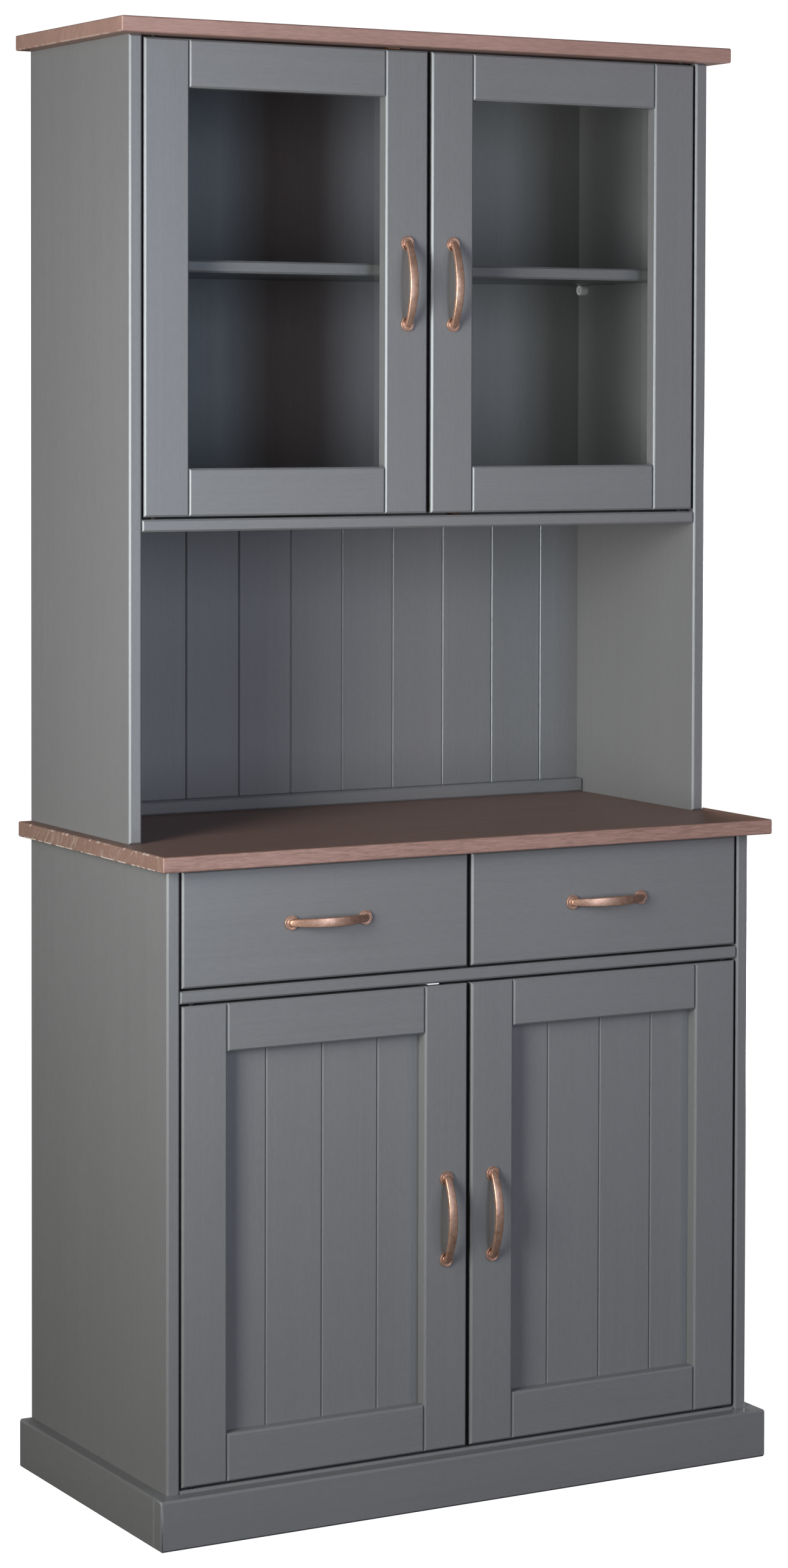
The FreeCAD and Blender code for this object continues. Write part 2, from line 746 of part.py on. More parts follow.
def make_doors(pattern):
    pins = []
    for level, door in DOORS.items():
        for side in SIDES:
            owner = f"{level}_{side}_door"
            handle_x = mirrored(side, "(middle_gap + stile_width) / 2")
            centre = (handle_x, door["front"], f"{door['bottom']} + {door['height']} / 2 - handle_drop")
            meeting_holes = fit_handle(owner, pattern, centre, "door_thick", level=False)
            door_pins, hinge_holes = fit_pivots(owner, side, level)
            pins.extend(door_pins)
            door_frame(owner, side, level, meeting_holes, hinge_holes)
            if level == "upper":
                glaze(owner, side, level)
            else:
                board_panel(owner, side, level)
    keep("hinge_pins", group("hinge_pins", pins))


def make_door_stops():
    """Angle stops: a left door's hangs above it, a right door's stands below it and reaches less far to the front."""
    ceilings = {"upper": "top_z", "lower": "drawer_board_z"}
    floors = {"upper": "upper_floor_z + board_thick", "lower": "floor_top"}
    for level, door in DOORS.items():
        lip_y = f"{door['front']} + door_thick + run_gap"
        starts = {
            "left": (f"{ceilings[level]} - stop_plate", f"{ceilings[level]} - stop_lip_height"),
            "right": (floors[level], floors[level]),
        }
        stops = []
        for side, (plate_z, lip_z) in starts.items():
            name = f"{level}_{side}_stop"
            x = f"{mirrored(side, 'stop_offset')} - stop_width / 2"
            cover = f"{side}_stop_cover"
            plate = block(
                f"{name}_plate",
                (x, f"{lip_y} - {cover}", plate_z),
                ("stop_width", f"{cover} + stop_lip_depth", "stop_plate"),
            )
            lip_size = ("stop_width", "stop_lip_depth", "stop_lip_height")
            lip = block(f"{name}_lip", (x, lip_y, lip_z), lip_size)
            stops.append(fuse(name, [plate, lip]))
        keep(f"{level}_door_stops", group(f"{level}_door_stops", stops))


def make_drawers(pattern):
    runners = []
    for side in SIDES:
        owner = f"{side}_drawer"
        handle_x = mirrored(side, "(middle_gap + door_width) / 2")
        centre = (handle_x, "lower_front", "drawer_z + drawer_front_height / 2")
        screw_holes = fit_handle(owner, pattern, centre, "drawer_front_thick", level=True)
        walls, housings = drawer_walls(owner, side, runners)
        bottom_width = "box_width - 2 * box_side_thick + 2 * bottom_groove"
        bottom_corner = (across(side, "drawer_side_gap + box_side_thick - bottom_groove", bottom_width),
                         "box_front - bottom_groove", "box_z + bottom_lift")
        bottom_size = (bottom_width, "box_length - box_side_thick + 2 * bottom_groove", "bottom_thick")
        bottom = block(
            f"{owner}_bottom",
            [f"{text} + fit_gap" for text in bottom_corner],
            [f"{text} - 2 * fit_gap" for text in bottom_size[:2]] + ["bottom_thick"],
        )
        groove = block(f"{owner}_bottom_groove", bottom_corner,
                       (*bottom_size[:2], "bottom_thick + 2 * fit_gap"))
        keep(f"{owner}_bottom", bottom)
        walls = [cut(f"{wall.Name}_grooved", wall, [groove]) for wall in walls]
        keep(f"{owner}_box_walls", group(f"{owner}_box_walls", walls))
        front_corner = (across(side, "door_gap", "door_width"), "lower_front", "drawer_z")
        front_size = ("door_width", "drawer_front_thick", "drawer_front_height")
        front = board(f"{owner}_front_blank", front_corner, front_size)
        keep(f"{owner}_front", cut(f"{owner}_front", front, [groove, *housings, *screw_holes]))
    keep("drawer_runners", group("drawer_runners", runners))


def drawer_walls(owner, side, runners):
    """The two sides and the back of a drawer box, with the runners that its sides hang on."""
    walls = []
    housings = []
    wall_y = "box_front - housing_depth"
    wall_size = ("box_side_thick", "box_length + housing_depth", "box_height")
    slot_depth = "runner_thick - drawer_side_gap + run_gap"
    edges = {
        "outer": {
            "wall": "drawer_side_gap",
            "runner": "0",
            "slot": "drawer_side_gap - cut_margin",
        },
        "inner": {
            "wall": "bay_width - drawer_side_gap - box_side_thick",
            "runner": "bay_width - runner_thick",
            "slot": f"bay_width - drawer_side_gap - ({slot_depth})",
        },
    }
    for edge, starts in edges.items():
        name = f"{owner}_{edge}"
        corner = (across(side, starts["wall"], "box_side_thick"), wall_y, "box_z")
        wall = block(f"{name}_wall_blank", corner, wall_size)
        slot_width = f"{slot_depth} + cut_margin"
        slot = block(
            f"{name}_slot",
            (across(side, starts["slot"], slot_width), "box_front", "runner_z - run_gap"),
            (slot_width, "box_length + cut_margin", "runner_height + 2 * run_gap"),
        )
        walls.append(cut(f"{name}_wall", wall, [slot]))
        housings.append(
            block(
                f"{name}_housing",
                (f"{corner[0]} - fit_gap", f"{wall_y} - fit_gap", "box_z - fit_gap"),
                ("box_side_thick + 2 * fit_gap", "housing_depth + fit_gap + cut_margin",
                 "box_height + 2 * fit_gap"),
            )
        )
        runner_corner = (across(side, starts["runner"], "runner_thick"),
                         "box_front + runner_setback", "runner_z")
        runner_size = ("runner_thick", "runner_length", "runner_height")
        runners.append(block(f"{name}_runner", runner_corner, runner_size))
    inside = "box_width - 2 * box_side_thick"
    back_corner = (across(side, "drawer_side_gap + box_side_thick", inside),
                   "box_front + box_length - box_side_thick", "box_z")
    walls.append(block(f"{owner}_back_wall", back_corner, (inside, "box_side_thick", "box_height")))
    return walls, housings


def finish_case_boards():
    for name, blank in blanks.items():
        keep(name, cut(name, blank, cutters[name]))


def check_document():
    for item in doc.Objects:
        if "Invalid" in item.State or "Error" in item.State:
            raise RuntimeError(f"{item.Name} failed: {item.State}")
    for name, item in nodes.items():
        if item.Shape.isNull() or not item.Shape.isValid() or not item.Shape.Solids:
            raise RuntimeError(f"{name} has no valid solid")


def write_nodes():
    os.makedirs("parts", exist_ok=True)
    for name, item in nodes.items():
        item.Shape.exportStep(f"parts/{name}.step")
    solids = sum(len(item.Shape.Solids) for item in nodes.values())
    print(len(nodes), "nodes with", solids, "solids")


make_cases()
make_backs()
make_plinth()
make_shelf_supports()
make_dowels()
handle_pattern = make_handle()
make_doors(handle_pattern)
make_door_stops()
make_drawers(handle_pattern)
finish_case_boards()
doc.recompute()
check_document()
write_nodes()
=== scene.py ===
# %% [markdown]
# # A step back cupboard in painted pine
#
# A step back cupboard is two cases in one: a shallow glazed case stands at the back of a deeper base, and
# the step between them is a worktop. The measured solids come in first as a fixed frame. Nearly every
# piece is then modelled again, with the eased edges and the finishes that the solids leave out, and takes
# the place of its solid.

# %% Load the measured frame
import json
import math

import bpy
from mathutils import Matrix, Vector


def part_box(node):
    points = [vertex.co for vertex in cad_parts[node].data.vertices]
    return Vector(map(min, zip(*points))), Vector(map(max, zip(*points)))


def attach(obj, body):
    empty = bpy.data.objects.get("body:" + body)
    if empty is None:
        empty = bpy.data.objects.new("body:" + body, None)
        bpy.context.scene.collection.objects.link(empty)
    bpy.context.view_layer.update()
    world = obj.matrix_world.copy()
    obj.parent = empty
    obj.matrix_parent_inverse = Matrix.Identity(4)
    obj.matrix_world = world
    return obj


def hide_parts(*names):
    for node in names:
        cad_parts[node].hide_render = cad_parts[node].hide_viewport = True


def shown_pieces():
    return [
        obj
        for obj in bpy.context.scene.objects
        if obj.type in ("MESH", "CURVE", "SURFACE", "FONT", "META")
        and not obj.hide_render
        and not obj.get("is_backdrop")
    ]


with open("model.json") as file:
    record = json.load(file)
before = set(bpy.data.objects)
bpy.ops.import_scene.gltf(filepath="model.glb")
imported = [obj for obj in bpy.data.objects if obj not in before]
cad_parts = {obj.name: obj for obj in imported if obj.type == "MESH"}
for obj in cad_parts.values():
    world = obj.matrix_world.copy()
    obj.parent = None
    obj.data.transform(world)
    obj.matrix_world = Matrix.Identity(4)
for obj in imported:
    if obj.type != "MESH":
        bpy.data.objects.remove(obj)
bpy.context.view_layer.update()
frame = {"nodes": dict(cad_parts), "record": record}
record = frame["record"]
body_of = {node: body for body, members in record["behaviour"]["bodies"].items() for node in members}

# %% [markdown]
# ## Camera
#
# The photograph was taken from the front left with a long lens, and its uprights are almost parallel. A
# camera that was fitted to the straight edges of the cupboard gives the numbers below: the lens in photo
# pixels, the middle of the lens in the picture, and where the camera stands. The middle of the lens lies
# off the middle of the picture, which is what a lens shift does.

# %% Camera
PHOTO_WIDTH, PHOTO_HEIGHT = 1295, 2576
LENS_PIXELS = 6338.08
LENS_MIDDLE = (758.62, 863.34)
SENSOR = 36.0
CAMERA_PLACE = Vector((-2.4619, -4.4927, 1.4384))
CAMERA_TURN, CAMERA_DIP, CAMERA_ROLL = -0.517766, 0.0355553, 0.00317916

bpy.ops.object.select_all(action="DESELECT")
bpy.ops.object.camera_add()
camera = bpy.context.object
camera.name = "photo_camera"
camera.data.sensor_width = SENSOR
camera.data.lens = LENS_PIXELS * SENSOR / PHOTO_HEIGHT
camera.data.shift_x = (PHOTO_WIDTH / 2 - LENS_MIDDLE[0]) / PHOTO_HEIGHT
camera.data.shift_y = (LENS_MIDDLE[1] - PHOTO_HEIGHT / 2) / PHOTO_HEIGHT
camera.matrix_world = (
    Matrix.Translation(CAMERA_PLACE)
    @ Matrix.Rotation(CAMERA_TURN, 4, "Z")
    @ Matrix.Rotation(math.pi / 2 - CAMERA_DIP, 4, "X")
    @ Matrix.Rotation(CAMERA_ROLL, 4, "Z")
)
bpy.context.scene.camera = camera
print("lens", round(camera.data.lens, 2), "mm")

# %% [markdown]
# ## Light and floor
#
# The shadows tell where the light stands. The overhangs throw hardly any shadow below them, so the lamps
# are tall and stand level with the cupboard. Three of them far round on the left draw the bright lines on
# the arrises and leave a third of the niche dark. One of the three has a narrow beam, so that less of its
# light reaches the foot. A cool lamp in front throws the shadow of the two middle stiles on the back
# panel, and one on the right softens it. Two more light the back, the top and the right side, which the
# camera doesn't see. The room is dark, so that the glass doesn't mirror it, but the camera sees white
# behind the cupboard. Nothing mirrors the back lamp or the right lamp.

# %% Lamps
def lamp(name, place, target, size, watts, colour, beam=180, mirrored=True):
    """A rectangular studio lamp that points at a target, with its beam in degrees."""
    bpy.ops.object.light_add(type="AREA", location=place)
    light = bpy.context.object
    light.name = name
    light.rotation_euler = (Vector(target) - Vector(place)).to_track_quat("-Z", "Y").to_euler()
    light.data.shape = "RECTANGLE"
    light.data.size, light.data.size_y = size
    light.data.spread = math.radians(beam)
    light.data.energy = watts
    light.data.color = colour
    light.visible_camera = False
    light.visible_glossy = mirrored
    return light


lamps = [
    lamp("high_side_lamp", (-2.56, -1.24, 2.1), (0.0, -0.1, 2.1), (0.9, 1.6), 29, (0.90, 0.92, 1.0)),
    lamp("low_side_lamp", (-2.56, -1.24, 1.3), (0.0, -0.1, 1.3), (0.9, 1.4), 18, (1.0, 0.99, 0.75)),
    lamp("beam_lamp", (-2.47, -1.41, 1.3), (0.0, -0.1, 1.3), (0.9, 1.4), 18.4, (0.98, 0.99, 1.0), beam=80),
    lamp("front_lamp", (0.445, -3.27, 1.4), (0.0, -0.1, 1.4), (0.8, 2.2), 47.5, (0.70, 0.81, 1.0)),
    lamp("back_lamp", (0.9, 2.4, 3.2), (0.0, 0.2, 1.2), (2.0, 1.5), 120, (1.0, 1.0, 1.0), mirrored=False),
    lamp(
        "right_lamp", (2.29, -3.38, 1.4), (0.0, -0.1, 1.4), (1.2, 2.4), 30.6, (1.0, 0.80, 0.80),
        mirrored=False,
    ),
    lamp("far_side_lamp", (2.4, 0.9, 0.7), (0.43, 0.0, 0.95), (1.2, 1.2), 45, (1.0, 1.0, 1.0)),
]
print(len(lamps), "lamps,", round(sum(light.data.energy for light in lamps)), "watts")

# %% Room and floor
WHITE = (1.0, 1.0, 1.0, 1.0)
BACKDROP_GLOW, ROOM_GLOW = 1.1, 0.015
ROOM_BLUE = (0.78, 0.86, 1.0, 1.0)
FLOOR_SIZE = 30

room = bpy.data.worlds.new("studio")
bpy.context.scene.world = room
room.use_nodes = True
room.node_tree.nodes.clear()
links = room.node_tree.links
ray = room.node_tree.nodes.new("ShaderNodeLightPath")
dim = room.node_tree.nodes.new("ShaderNodeBackground")
dim.inputs["Color"].default_value = ROOM_BLUE
dim.inputs["Strength"].default_value = ROOM_GLOW
pale = room.node_tree.nodes.new("ShaderNodeBackground")
pale.inputs["Color"].default_value = WHITE
pale.inputs["Strength"].default_value = BACKDROP_GLOW
choice = room.node_tree.nodes.new("ShaderNodeMixShader")
sky = room.node_tree.nodes.new("ShaderNodeOutputWorld")
links.new(ray.outputs["Is Camera Ray"], choice.inputs["Fac"])
links.new(dim.outputs["Background"], choice.inputs[1])
links.new(pale.outputs["Background"], choice.inputs[2])
links.new(choice.outputs["Shader"], sky.inputs["Surface"])

bpy.ops.mesh.primitive_plane_add(size=FLOOR_SIZE)
floor = bpy.context.object
floor.name = "studio_floor"
floor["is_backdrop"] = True
bpy.context.scene.view_settings.view_transform = "Standard"
print("a dark room and a floor of", FLOOR_SIZE, "m")

# %% [markdown]
# ## A small language for finishes
#
# A finish is a graph of shader nodes, and long graphs are easier to read as sums. `Tone` wraps the output
# of a node, and the operators on it add Math nodes. `Finish` holds one material. Its `node` method adds
# any other node: first the node's settings, then the numbers or tones that go into its sockets.

# %% Tones
class Tone:
    """The output of a node: a value, a colour or a shader that changes over a surface."""

    def __init__(self, finish, socket):
        self.finish = finish
        self.socket = socket

    def math(self, operation, *values):
        return self.finish.node("ShaderNodeMath", {"operation": operation}, dict(enumerate(values)))

    def __add__(self, other):
        return self.math("ADD", self, other)

    def __sub__(self, other):
        return self.math("SUBTRACT", self, other)

    def __rsub__(self, other):
        return self.math("SUBTRACT", other, self)

    def __mul__(self, other):
        return self.math("MULTIPLY", self, other)

    def __truediv__(self, other):
        return self.math("DIVIDE", self, other)

    def __rtruediv__(self, other):
        return self.math("DIVIDE", other, self)

    def __abs__(self):
        return self.math("ABSOLUTE", self)

    __radd__ = __add__
    __rmul__ = __mul__

    def floor(self):
        return self.math("FLOOR", self)

    def fraction(self):
        return self.math("FRACT", self)

    def between(self, low, high):
        """0 below low, 1 above high, with a soft step between them."""
        settings = {"interpolation_type": "SMOOTHSTEP"}
        return self.finish.node("ShaderNodeMapRange", settings, {0: self, 1: low, 2: high})


print("tones add, subtract, multiply and divide")

# %% Finishes
class Finish:
    """A material with one main shader."""

    def __init__(self, name, **constants):
        self.material = bpy.data.materials.new(name)
        self.material.use_nodes = True
        self.tree = self.material.node_tree
        self.tree.nodes.clear()
        self.end = self.tree.nodes.new("ShaderNodeOutputMaterial")
        self.surface = self.tree.nodes.new("ShaderNodeBsdfPrincipled")
        self.tree.links.new(self.surface.outputs[0], self.end.inputs["Surface"])
        self.place = self.tree.nodes.new("ShaderNodeTexCoord")
        self.set(self.surface, {socket.replace("_", " "): value for socket, value in constants.items()})

    def set(self, node, sockets):
        for name, value in sockets.items():
            if isinstance(value, Tone):
                self.tree.links.new(value.socket, node.inputs[name])
            else:
                node.inputs[name].default_value = value

    def node(self, kind, settings, sockets, output=0):
        made = self.tree.nodes.new(kind)
        for name, value in settings.items():
            setattr(made, name, value)
        self.set(made, sockets)
        return Tone(self, made.outputs[output])

    def spot(self):
        """The place on the piece, in metres."""
        return Tone(self, self.place.outputs["Object"])

    def axes(self, vector):
        split = self.node("ShaderNodeSeparateXYZ", {}, {0: vector})
        return [Tone(self, output) for output in split.socket.node.outputs]

    def noise(self, scale, detail=3.0, roughness=0.55, offset=(0.0, 0.0, 0.0)):
        """Cloudy values about 0.5. The scale has a number for each axis."""
        sockets = {"Vector": self.spot(), "Scale": scale, "Location": offset}
        spread = self.node("ShaderNodeMapping", {}, sockets)
        sockets = {"Vector": spread, "Scale": 1.0, "Detail": detail, "Roughness": roughness}
        return self.node("ShaderNodeTexNoise", {}, sockets)

    def blend(self, share, first, second):
        """A mix of two colours."""
        sockets = {0: share, 6: first, 7: second}
        return self.node("ShaderNodeMix", {"data_type": "RGBA"}, sockets, output=2)

    def relief(self, height, depth):
        """Bumps of that depth in metres."""
        bump = self.node("ShaderNodeBump", {}, {"Height": height, "Distance": depth})
        self.set(self.surface, {"Normal": bump})

    def main(self):
        """The main shader, to be mixed with another."""
        return Tone(self, self.surface.outputs[0])

    def show_mix(self, share, first, second):
        """Show a mix of two shaders instead of the main one alone."""
        both = self.node("ShaderNodeMixShader", {}, {0: share, 1: first, 2: second})
        self.tree.links.new(both.socket, self.end.inputs["Surface"])


print("a finish holds one material")

# %% Colours and grain
def shade(colour, times=1.0):
    """A linear colour from one in eight-bit screen values."""
    linear = [((value / 255 + 0.055) / 1.055) ** 2.4 for value in colour]
    return (*(times * value for value in linear), 1.0)


def along_grain(axis, along, across):
    """A noise scale that stretches a pattern along the grain."""
    return tuple(along if letter == axis else across for letter in "xyz")


print("a screen grey of 128 is", round(shade((128, 128, 128))[0], 3), "in linear light")

# %% Floor finish
FLOOR_GREY = (0.05, 0.05, 0.05, 1.0)

floor_finish = Finish("studio_floor", Base_Color=FLOOR_GREY, Roughness=0.8)
floor_glow = floor_finish.node("ShaderNodeEmission", {}, {"Color": WHITE, "Strength": BACKDROP_GLOW})
floor_ray = floor_finish.node("ShaderNodeLightPath", {}, {}, output="Is Camera Ray")
floor_finish.show_mix(floor_ray, floor_finish.main(), floor_glow)
floor.data.materials.append(floor_finish.material)
print("floor finish has", len(floor_finish.tree.nodes), "nodes")

# %% [markdown]
# ## Grey paint
#
# The case, doors and drawer fronts wear a satin grey paint. Paint on pine is never quite flat: the grain
# shows through as long shallow ridges, the brush leaves short fine strokes, and a stipple breaks up the
# shine. Noise that is stretched along the grain gives all of these on any board, without a picture that
# would have to be laid on it. The grain runs up a side panel and along a rail, so the paint is made three
# times, once for each direction.

# %% Grey paint
GREY_LOW = shade((100, 100, 100))
GREY_HIGH = shade((119, 119, 119))
PAINT_SHINE = {"IOR": 1.48, "Specular_IOR_Level": 0.36, "Specular_Tint": (0.88, 0.96, 1.0, 1.0)}
PAINT_RELIEF = 0.00012


def grey_paint(axis):
    paint = Finish(f"grey_paint_{axis}", **PAINT_SHINE)
    ridges = paint.noise(along_grain(axis, 2.2, 190.0), detail=4.0, roughness=0.6)
    broad = paint.noise(along_grain(axis, 0.9, 26.0), detail=2.0, offset=(3.1, 1.7, 5.3))
    strokes = paint.noise(along_grain(axis, 90.0, 400.0), detail=3.0, offset=(1.9, 8.2, 0.6))
    stipple = paint.noise((900.0, 900.0, 900.0), detail=1.0)
    cloud = paint.noise((4.0, 4.0, 4.0), detail=2.0, offset=(7.0, 2.0, 4.0))
    share = ridges * 0.3 + broad * 0.2 + strokes * 0.6 + cloud * 0.2 - 0.15
    paint.set(paint.surface, {"Base Color": paint.blend(share, GREY_LOW, GREY_HIGH)})
    paint.set(paint.surface, {"Roughness": ridges * 0.10 + cloud * 0.08 + 0.22})
    paint.relief(ridges * 0.8 + broad * 0.5 + stipple * 0.25, PAINT_RELIEF)
    return paint.material


paint_up, paint_across, paint_deep = (grey_paint(axis) for axis in "zxy")
print("paint along z, x and y")

# %% [markdown]
# ## Stained pine
#
# The top and the worktop are pine staves glued edge to edge and stained brown. The finish is worked out
# in three dimensions, as in a block of wood: growth rings lean differently in each stave and change
# little along its length. So the same pattern gives long stripes on top and short slanting strokes of end
# grain at the ends. Sanding has let pale wood through in dashes along the arrises of the ends.

# %% Stained pine
STAVE, STAVE_START = 0.062, 0.35
RINGS = 210.0
BROWN_LIGHT = shade((166, 129, 118))
BROWN_DARK = shade((116, 87, 74))
BROWN_PALE = shade((222, 206, 196))
BROWN_GREY = shade((138, 136, 130))
STAIN_RELIEF = 0.00015
WORN_FOOT, WORN_HEAD, WORN_END = (0.0016, 0.0024), (0.0030, 0.0020), (0.0034, 0.0022)


def stained_pine(name, node, depth, end_depth, grain, wear):
    """Stain of one board.

    The numbers say how dark it is, how much darker its ends are, and how far its grain and bare wood show.
    """
    low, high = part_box(node)
    stain = Finish(name, IOR=1.45)
    x, y, z = stain.axes(stain.spot())
    normal = stain.axes(Tone(stain, stain.place.outputs["Normal"]))
    end = abs(normal[0]).between(0.6, 0.95)
    level = normal[2].between(0.6, 0.95)
    stave = (y / STAVE + STAVE_START).floor()
    by_stave = {"noise_dimensions": "1D"}
    lean = stain.node("ShaderNodeTexWhiteNoise", by_stave, {"W": stave * 2.3 + 7.1})
    tint = stain.node("ShaderNodeTexWhiteNoise", by_stave, {"W": stave * 3.7 + high.z})
    wander = stain.noise((1.3, 45.0, 45.0), detail=3.0)
    across = (y + (z - low.z) * (lean * 2.2 - 0.7)) * RINGS + wander * 4.0
    sockets = {"X": x * 1.5, "Y": across, "Z": z * 25.0 + stave * 4.0}
    spread = stain.node("ShaderNodeCombineXYZ", {}, sockets)
    sockets = {"Vector": spread, "Scale": 1.0, "Detail": 3.0, "Roughness": 0.6}
    ring = stain.node("ShaderNodeTexNoise", {}, sockets)
    fibre = stain.noise((55.0, 620.0, 620.0), detail=4.0, roughness=0.65)
    cloud = stain.noise((7.0, 16.0, 16.0), detail=3.0, offset=(4.0, 1.0, 2.0))
    figure = (
        (fibre.between(0.35, 0.65) - 0.5) * grain
        + (cloud - 0.5) * 0.6
        + (ring - 0.5) * (end * 0.9 + 0.4)
        + (tint - 0.5) * 0.16
    )
    # Faces that look up are made darker by level: painted shade, for the little light that falls on the
    # tops.
    share = figure + end * end_depth + level * 0.4 + depth
    brown = stain.blend(end * 0.07 + 0.05, stain.blend(share, BROWN_LIGHT, BROWN_DARK), BROWN_GREY)
    strokes = end * ring.between(0.46, 0.70) * cloud.between(0.35, 0.60) * 0.28
    dashes = stain.noise((40.0, 85.0, 30.0), detail=3.0, offset=(2.0, 6.0, 8.0))
    foot = (1 - z.between(low.z + WORN_FOOT[0], low.z + WORN_FOOT[1])) * dashes.between(0.44, 0.52)
    head = z.between(high.z - WORN_HEAD[0], high.z - WORN_HEAD[1]) * dashes.between(0.54, 0.62) * 0.6
    arris = (foot + head) * abs(x).between(high.x - WORN_END[0], high.x - WORN_END[1])
    stain.set(stain.surface, {"Base Color": stain.blend((arris + strokes) * wear, brown, BROWN_PALE)})
    stain.set(stain.surface, {"Roughness": fibre * 0.16 + 0.36})
    stain.relief(fibre * 0.7 + ring * 0.4, STAIN_RELIEF)
    return stain.material


worktop_stain = stained_pine("stained_worktop", "worktop", depth=0.59, end_depth=0.42, grain=0.5, wear=0.8)
top_stain = stained_pine("stained_top", "top_board", depth=0.37, end_depth=0.20, grain=0.3, wear=0.2)
print("two boards of stained pine")

# %% [markdown]
# ## Bare pine
#
# Inside, where nobody looks, the drawer boxes and runners are bare pine: honey coloured, with darker late
# wood and a knot here and there. The rings are steps of one smooth noise, like the height lines on a map,
# because those close in long ovals as the rings of a sawn board do.

# %% Bare pine
PINE_LIGHT = shade((224, 196, 152))
PINE_DARK = shade((192, 146, 98))
PINE_KNOT = shade((112, 68, 40))
PINE_RELIEF = 0.0002


def bare_pine(axis):
    pine = Finish(f"bare_pine_{axis}", IOR=1.45)
    flow = pine.noise(along_grain(axis, 1.6, 24.0), detail=2.0)
    rings = (flow * 9.0).fraction()
    late = rings.between(0.45, 0.9) - rings.between(0.92, 1.0)
    fibre = pine.noise(along_grain(axis, 8.0, 520.0), detail=3.0, roughness=0.7)
    knot = pine.noise((9.0, 9.0, 9.0), detail=0.0, offset=(1.3, 4.4, 2.6)).between(0.74, 0.80)
    wood = pine.blend(late * 0.55 + fibre * 0.35, PINE_LIGHT, PINE_DARK)
    pine.set(pine.surface, {"Base Color": pine.blend(knot * 0.7, wood, PINE_KNOT)})
    pine.set(pine.surface, {"Roughness": fibre * 0.2 + 0.5})
    pine.relief(fibre + late * 0.4, PINE_RELIEF)
    return pine.material


pine_across, pine_deep = bare_pine("x"), bare_pine("y")
print("bare pine along x and y")

# %% [markdown]
# ## Copper, glass, plastic and steel
#
# The handles are cast and plated in antique copper: warm metal with a brown bloom that polishing takes
# off the high places. The panes are clear, with a faint green cast and a few dull smears. A glass shader
# would keep the lamps' light out of the case, so a pane is a mix of a clear shader and a mirror. A real
# pane mirrors with both of its faces, and here the front face mirrors for two. Shelf supports and stops
# are moulded plastic. Screws are plain steel, and the pivot pins are near-black: painted shade, so that
# they show as the dark of the gaps they sit in.

# %% Copper and glass
COPPER_WORN = shade((206, 166, 143))
COPPER_BROWN = shade((150, 111, 90))
COPPER_RELIEF = 0.00012
GLASS_MIRROR = (0.90, 0.94, 0.93, 1.0)
GLASS_CLEAR = (0.99, 0.995, 0.992, 1.0)
GLASS_IOR, BOTH_FACES = 1.5, 1.9


def antique_copper():
    plating = Finish("antique_copper", Metallic=0.7)
    bloom = plating.noise((120.0, 120.0, 120.0), detail=5.0, roughness=0.65)
    grit = plating.noise((1100.0, 1100.0, 1100.0), detail=2.0)
    share = bloom.between(0.3, 0.75) * 0.6 + grit.between(0.35, 0.7) * 0.4
    plating.set(plating.surface, {"Base Color": plating.blend(share, COPPER_WORN, COPPER_BROWN)})
    plating.set(plating.surface, {"Roughness": bloom * 0.12 + grit * 0.12 + 0.26})
    plating.relief(bloom * 0.4 + grit * 0.6, COPPER_RELIEF)
    return plating.material


def clear_glass():
    clear = Finish("clear_glass", Metallic=1.0, Base_Color=GLASS_MIRROR)
    smear = clear.noise((7.0, 7.0, 3.0), detail=5.0, roughness=0.6).between(0.45, 0.8)
    clear.set(clear.surface, {"Roughness": smear * 0.12 + 0.02})
    mirror = clear.node("ShaderNodeFresnel", {}, {"IOR": GLASS_IOR})
    inside = clear.node("ShaderNodeNewGeometry", {}, {}, output="Backfacing")
    through = clear.node("ShaderNodeBsdfTransparent", {}, {"Color": GLASS_CLEAR})
    clear.show_mix(mirror * BOTH_FACES * (1 - inside), through, clear.main())
    return clear.material


copper, glass = antique_copper(), clear_glass()
print("copper and glass")

# %% Plastic and steel
STEEL_LIGHT = shade((190, 190, 192))
STEEL_DARK = shade((160, 160, 164))
STEEL_RELIEF, DULL_RELIEF = 0.00005, 0.00008
SHADOW = 0.82


def dull_finish(name, colour, dullness):
    """One colour all through, with a fine grain, for moulded plastic and for pins painted black as shade.
    """
    dull = Finish(name, IOR=1.46)
    grain = dull.noise((1500.0, 1500.0, 1500.0), detail=2.0)
    cloud = dull.noise((60.0, 60.0, 60.0), detail=2.0)
    dull.set(dull.surface, {"Base Color": dull.blend(cloud * 0.4, shade(colour), shade(colour, SHADOW))})
    dull.set(dull.surface, {"Roughness": grain * 0.15 + dullness})
    dull.relief(grain, DULL_RELIEF)
    return dull.material


def plain_steel():
    bright = Finish("plain_steel", Metallic=1.0)
    turned = bright.noise((1200.0, 1200.0, 180.0), detail=3.0)
    bright.set(bright.surface, {"Base Color": bright.blend(turned, STEEL_LIGHT, STEEL_DARK)})
    bright.set(bright.surface, {"Roughness": turned * 0.25 + 0.2})
    bright.relief(turned, STEEL_RELIEF)
    return bright.material


steel = plain_steel()
# Near-black for the pivot pins: painted shade, so that they show as the dark of the gaps.
shade_black_steel = dull_finish("steel_painted_shade_black", (14, 14, 15), dullness=0.7)
white_plastic = dull_finish("white_plastic", (228, 230, 230), dullness=0.35)
brown_plastic = dull_finish("brown_plastic", (96, 66, 48), dullness=0.35)
print("two finishes of steel and two of plastic")

# %% [markdown]
# ## Tools for boards
#
# Nearly every piece here is a board: a block whose front edges, the arrises, have been planed off. A
# board starts as a cube that is stretched between two corners. Bevel weights choose the arrises, and a
# bevel modifier with one step cuts them flat, which is what makes the even bright lines round the doors.
# A second, fine bevel then takes the sharpness off every edge that is left, as sandpaper does.

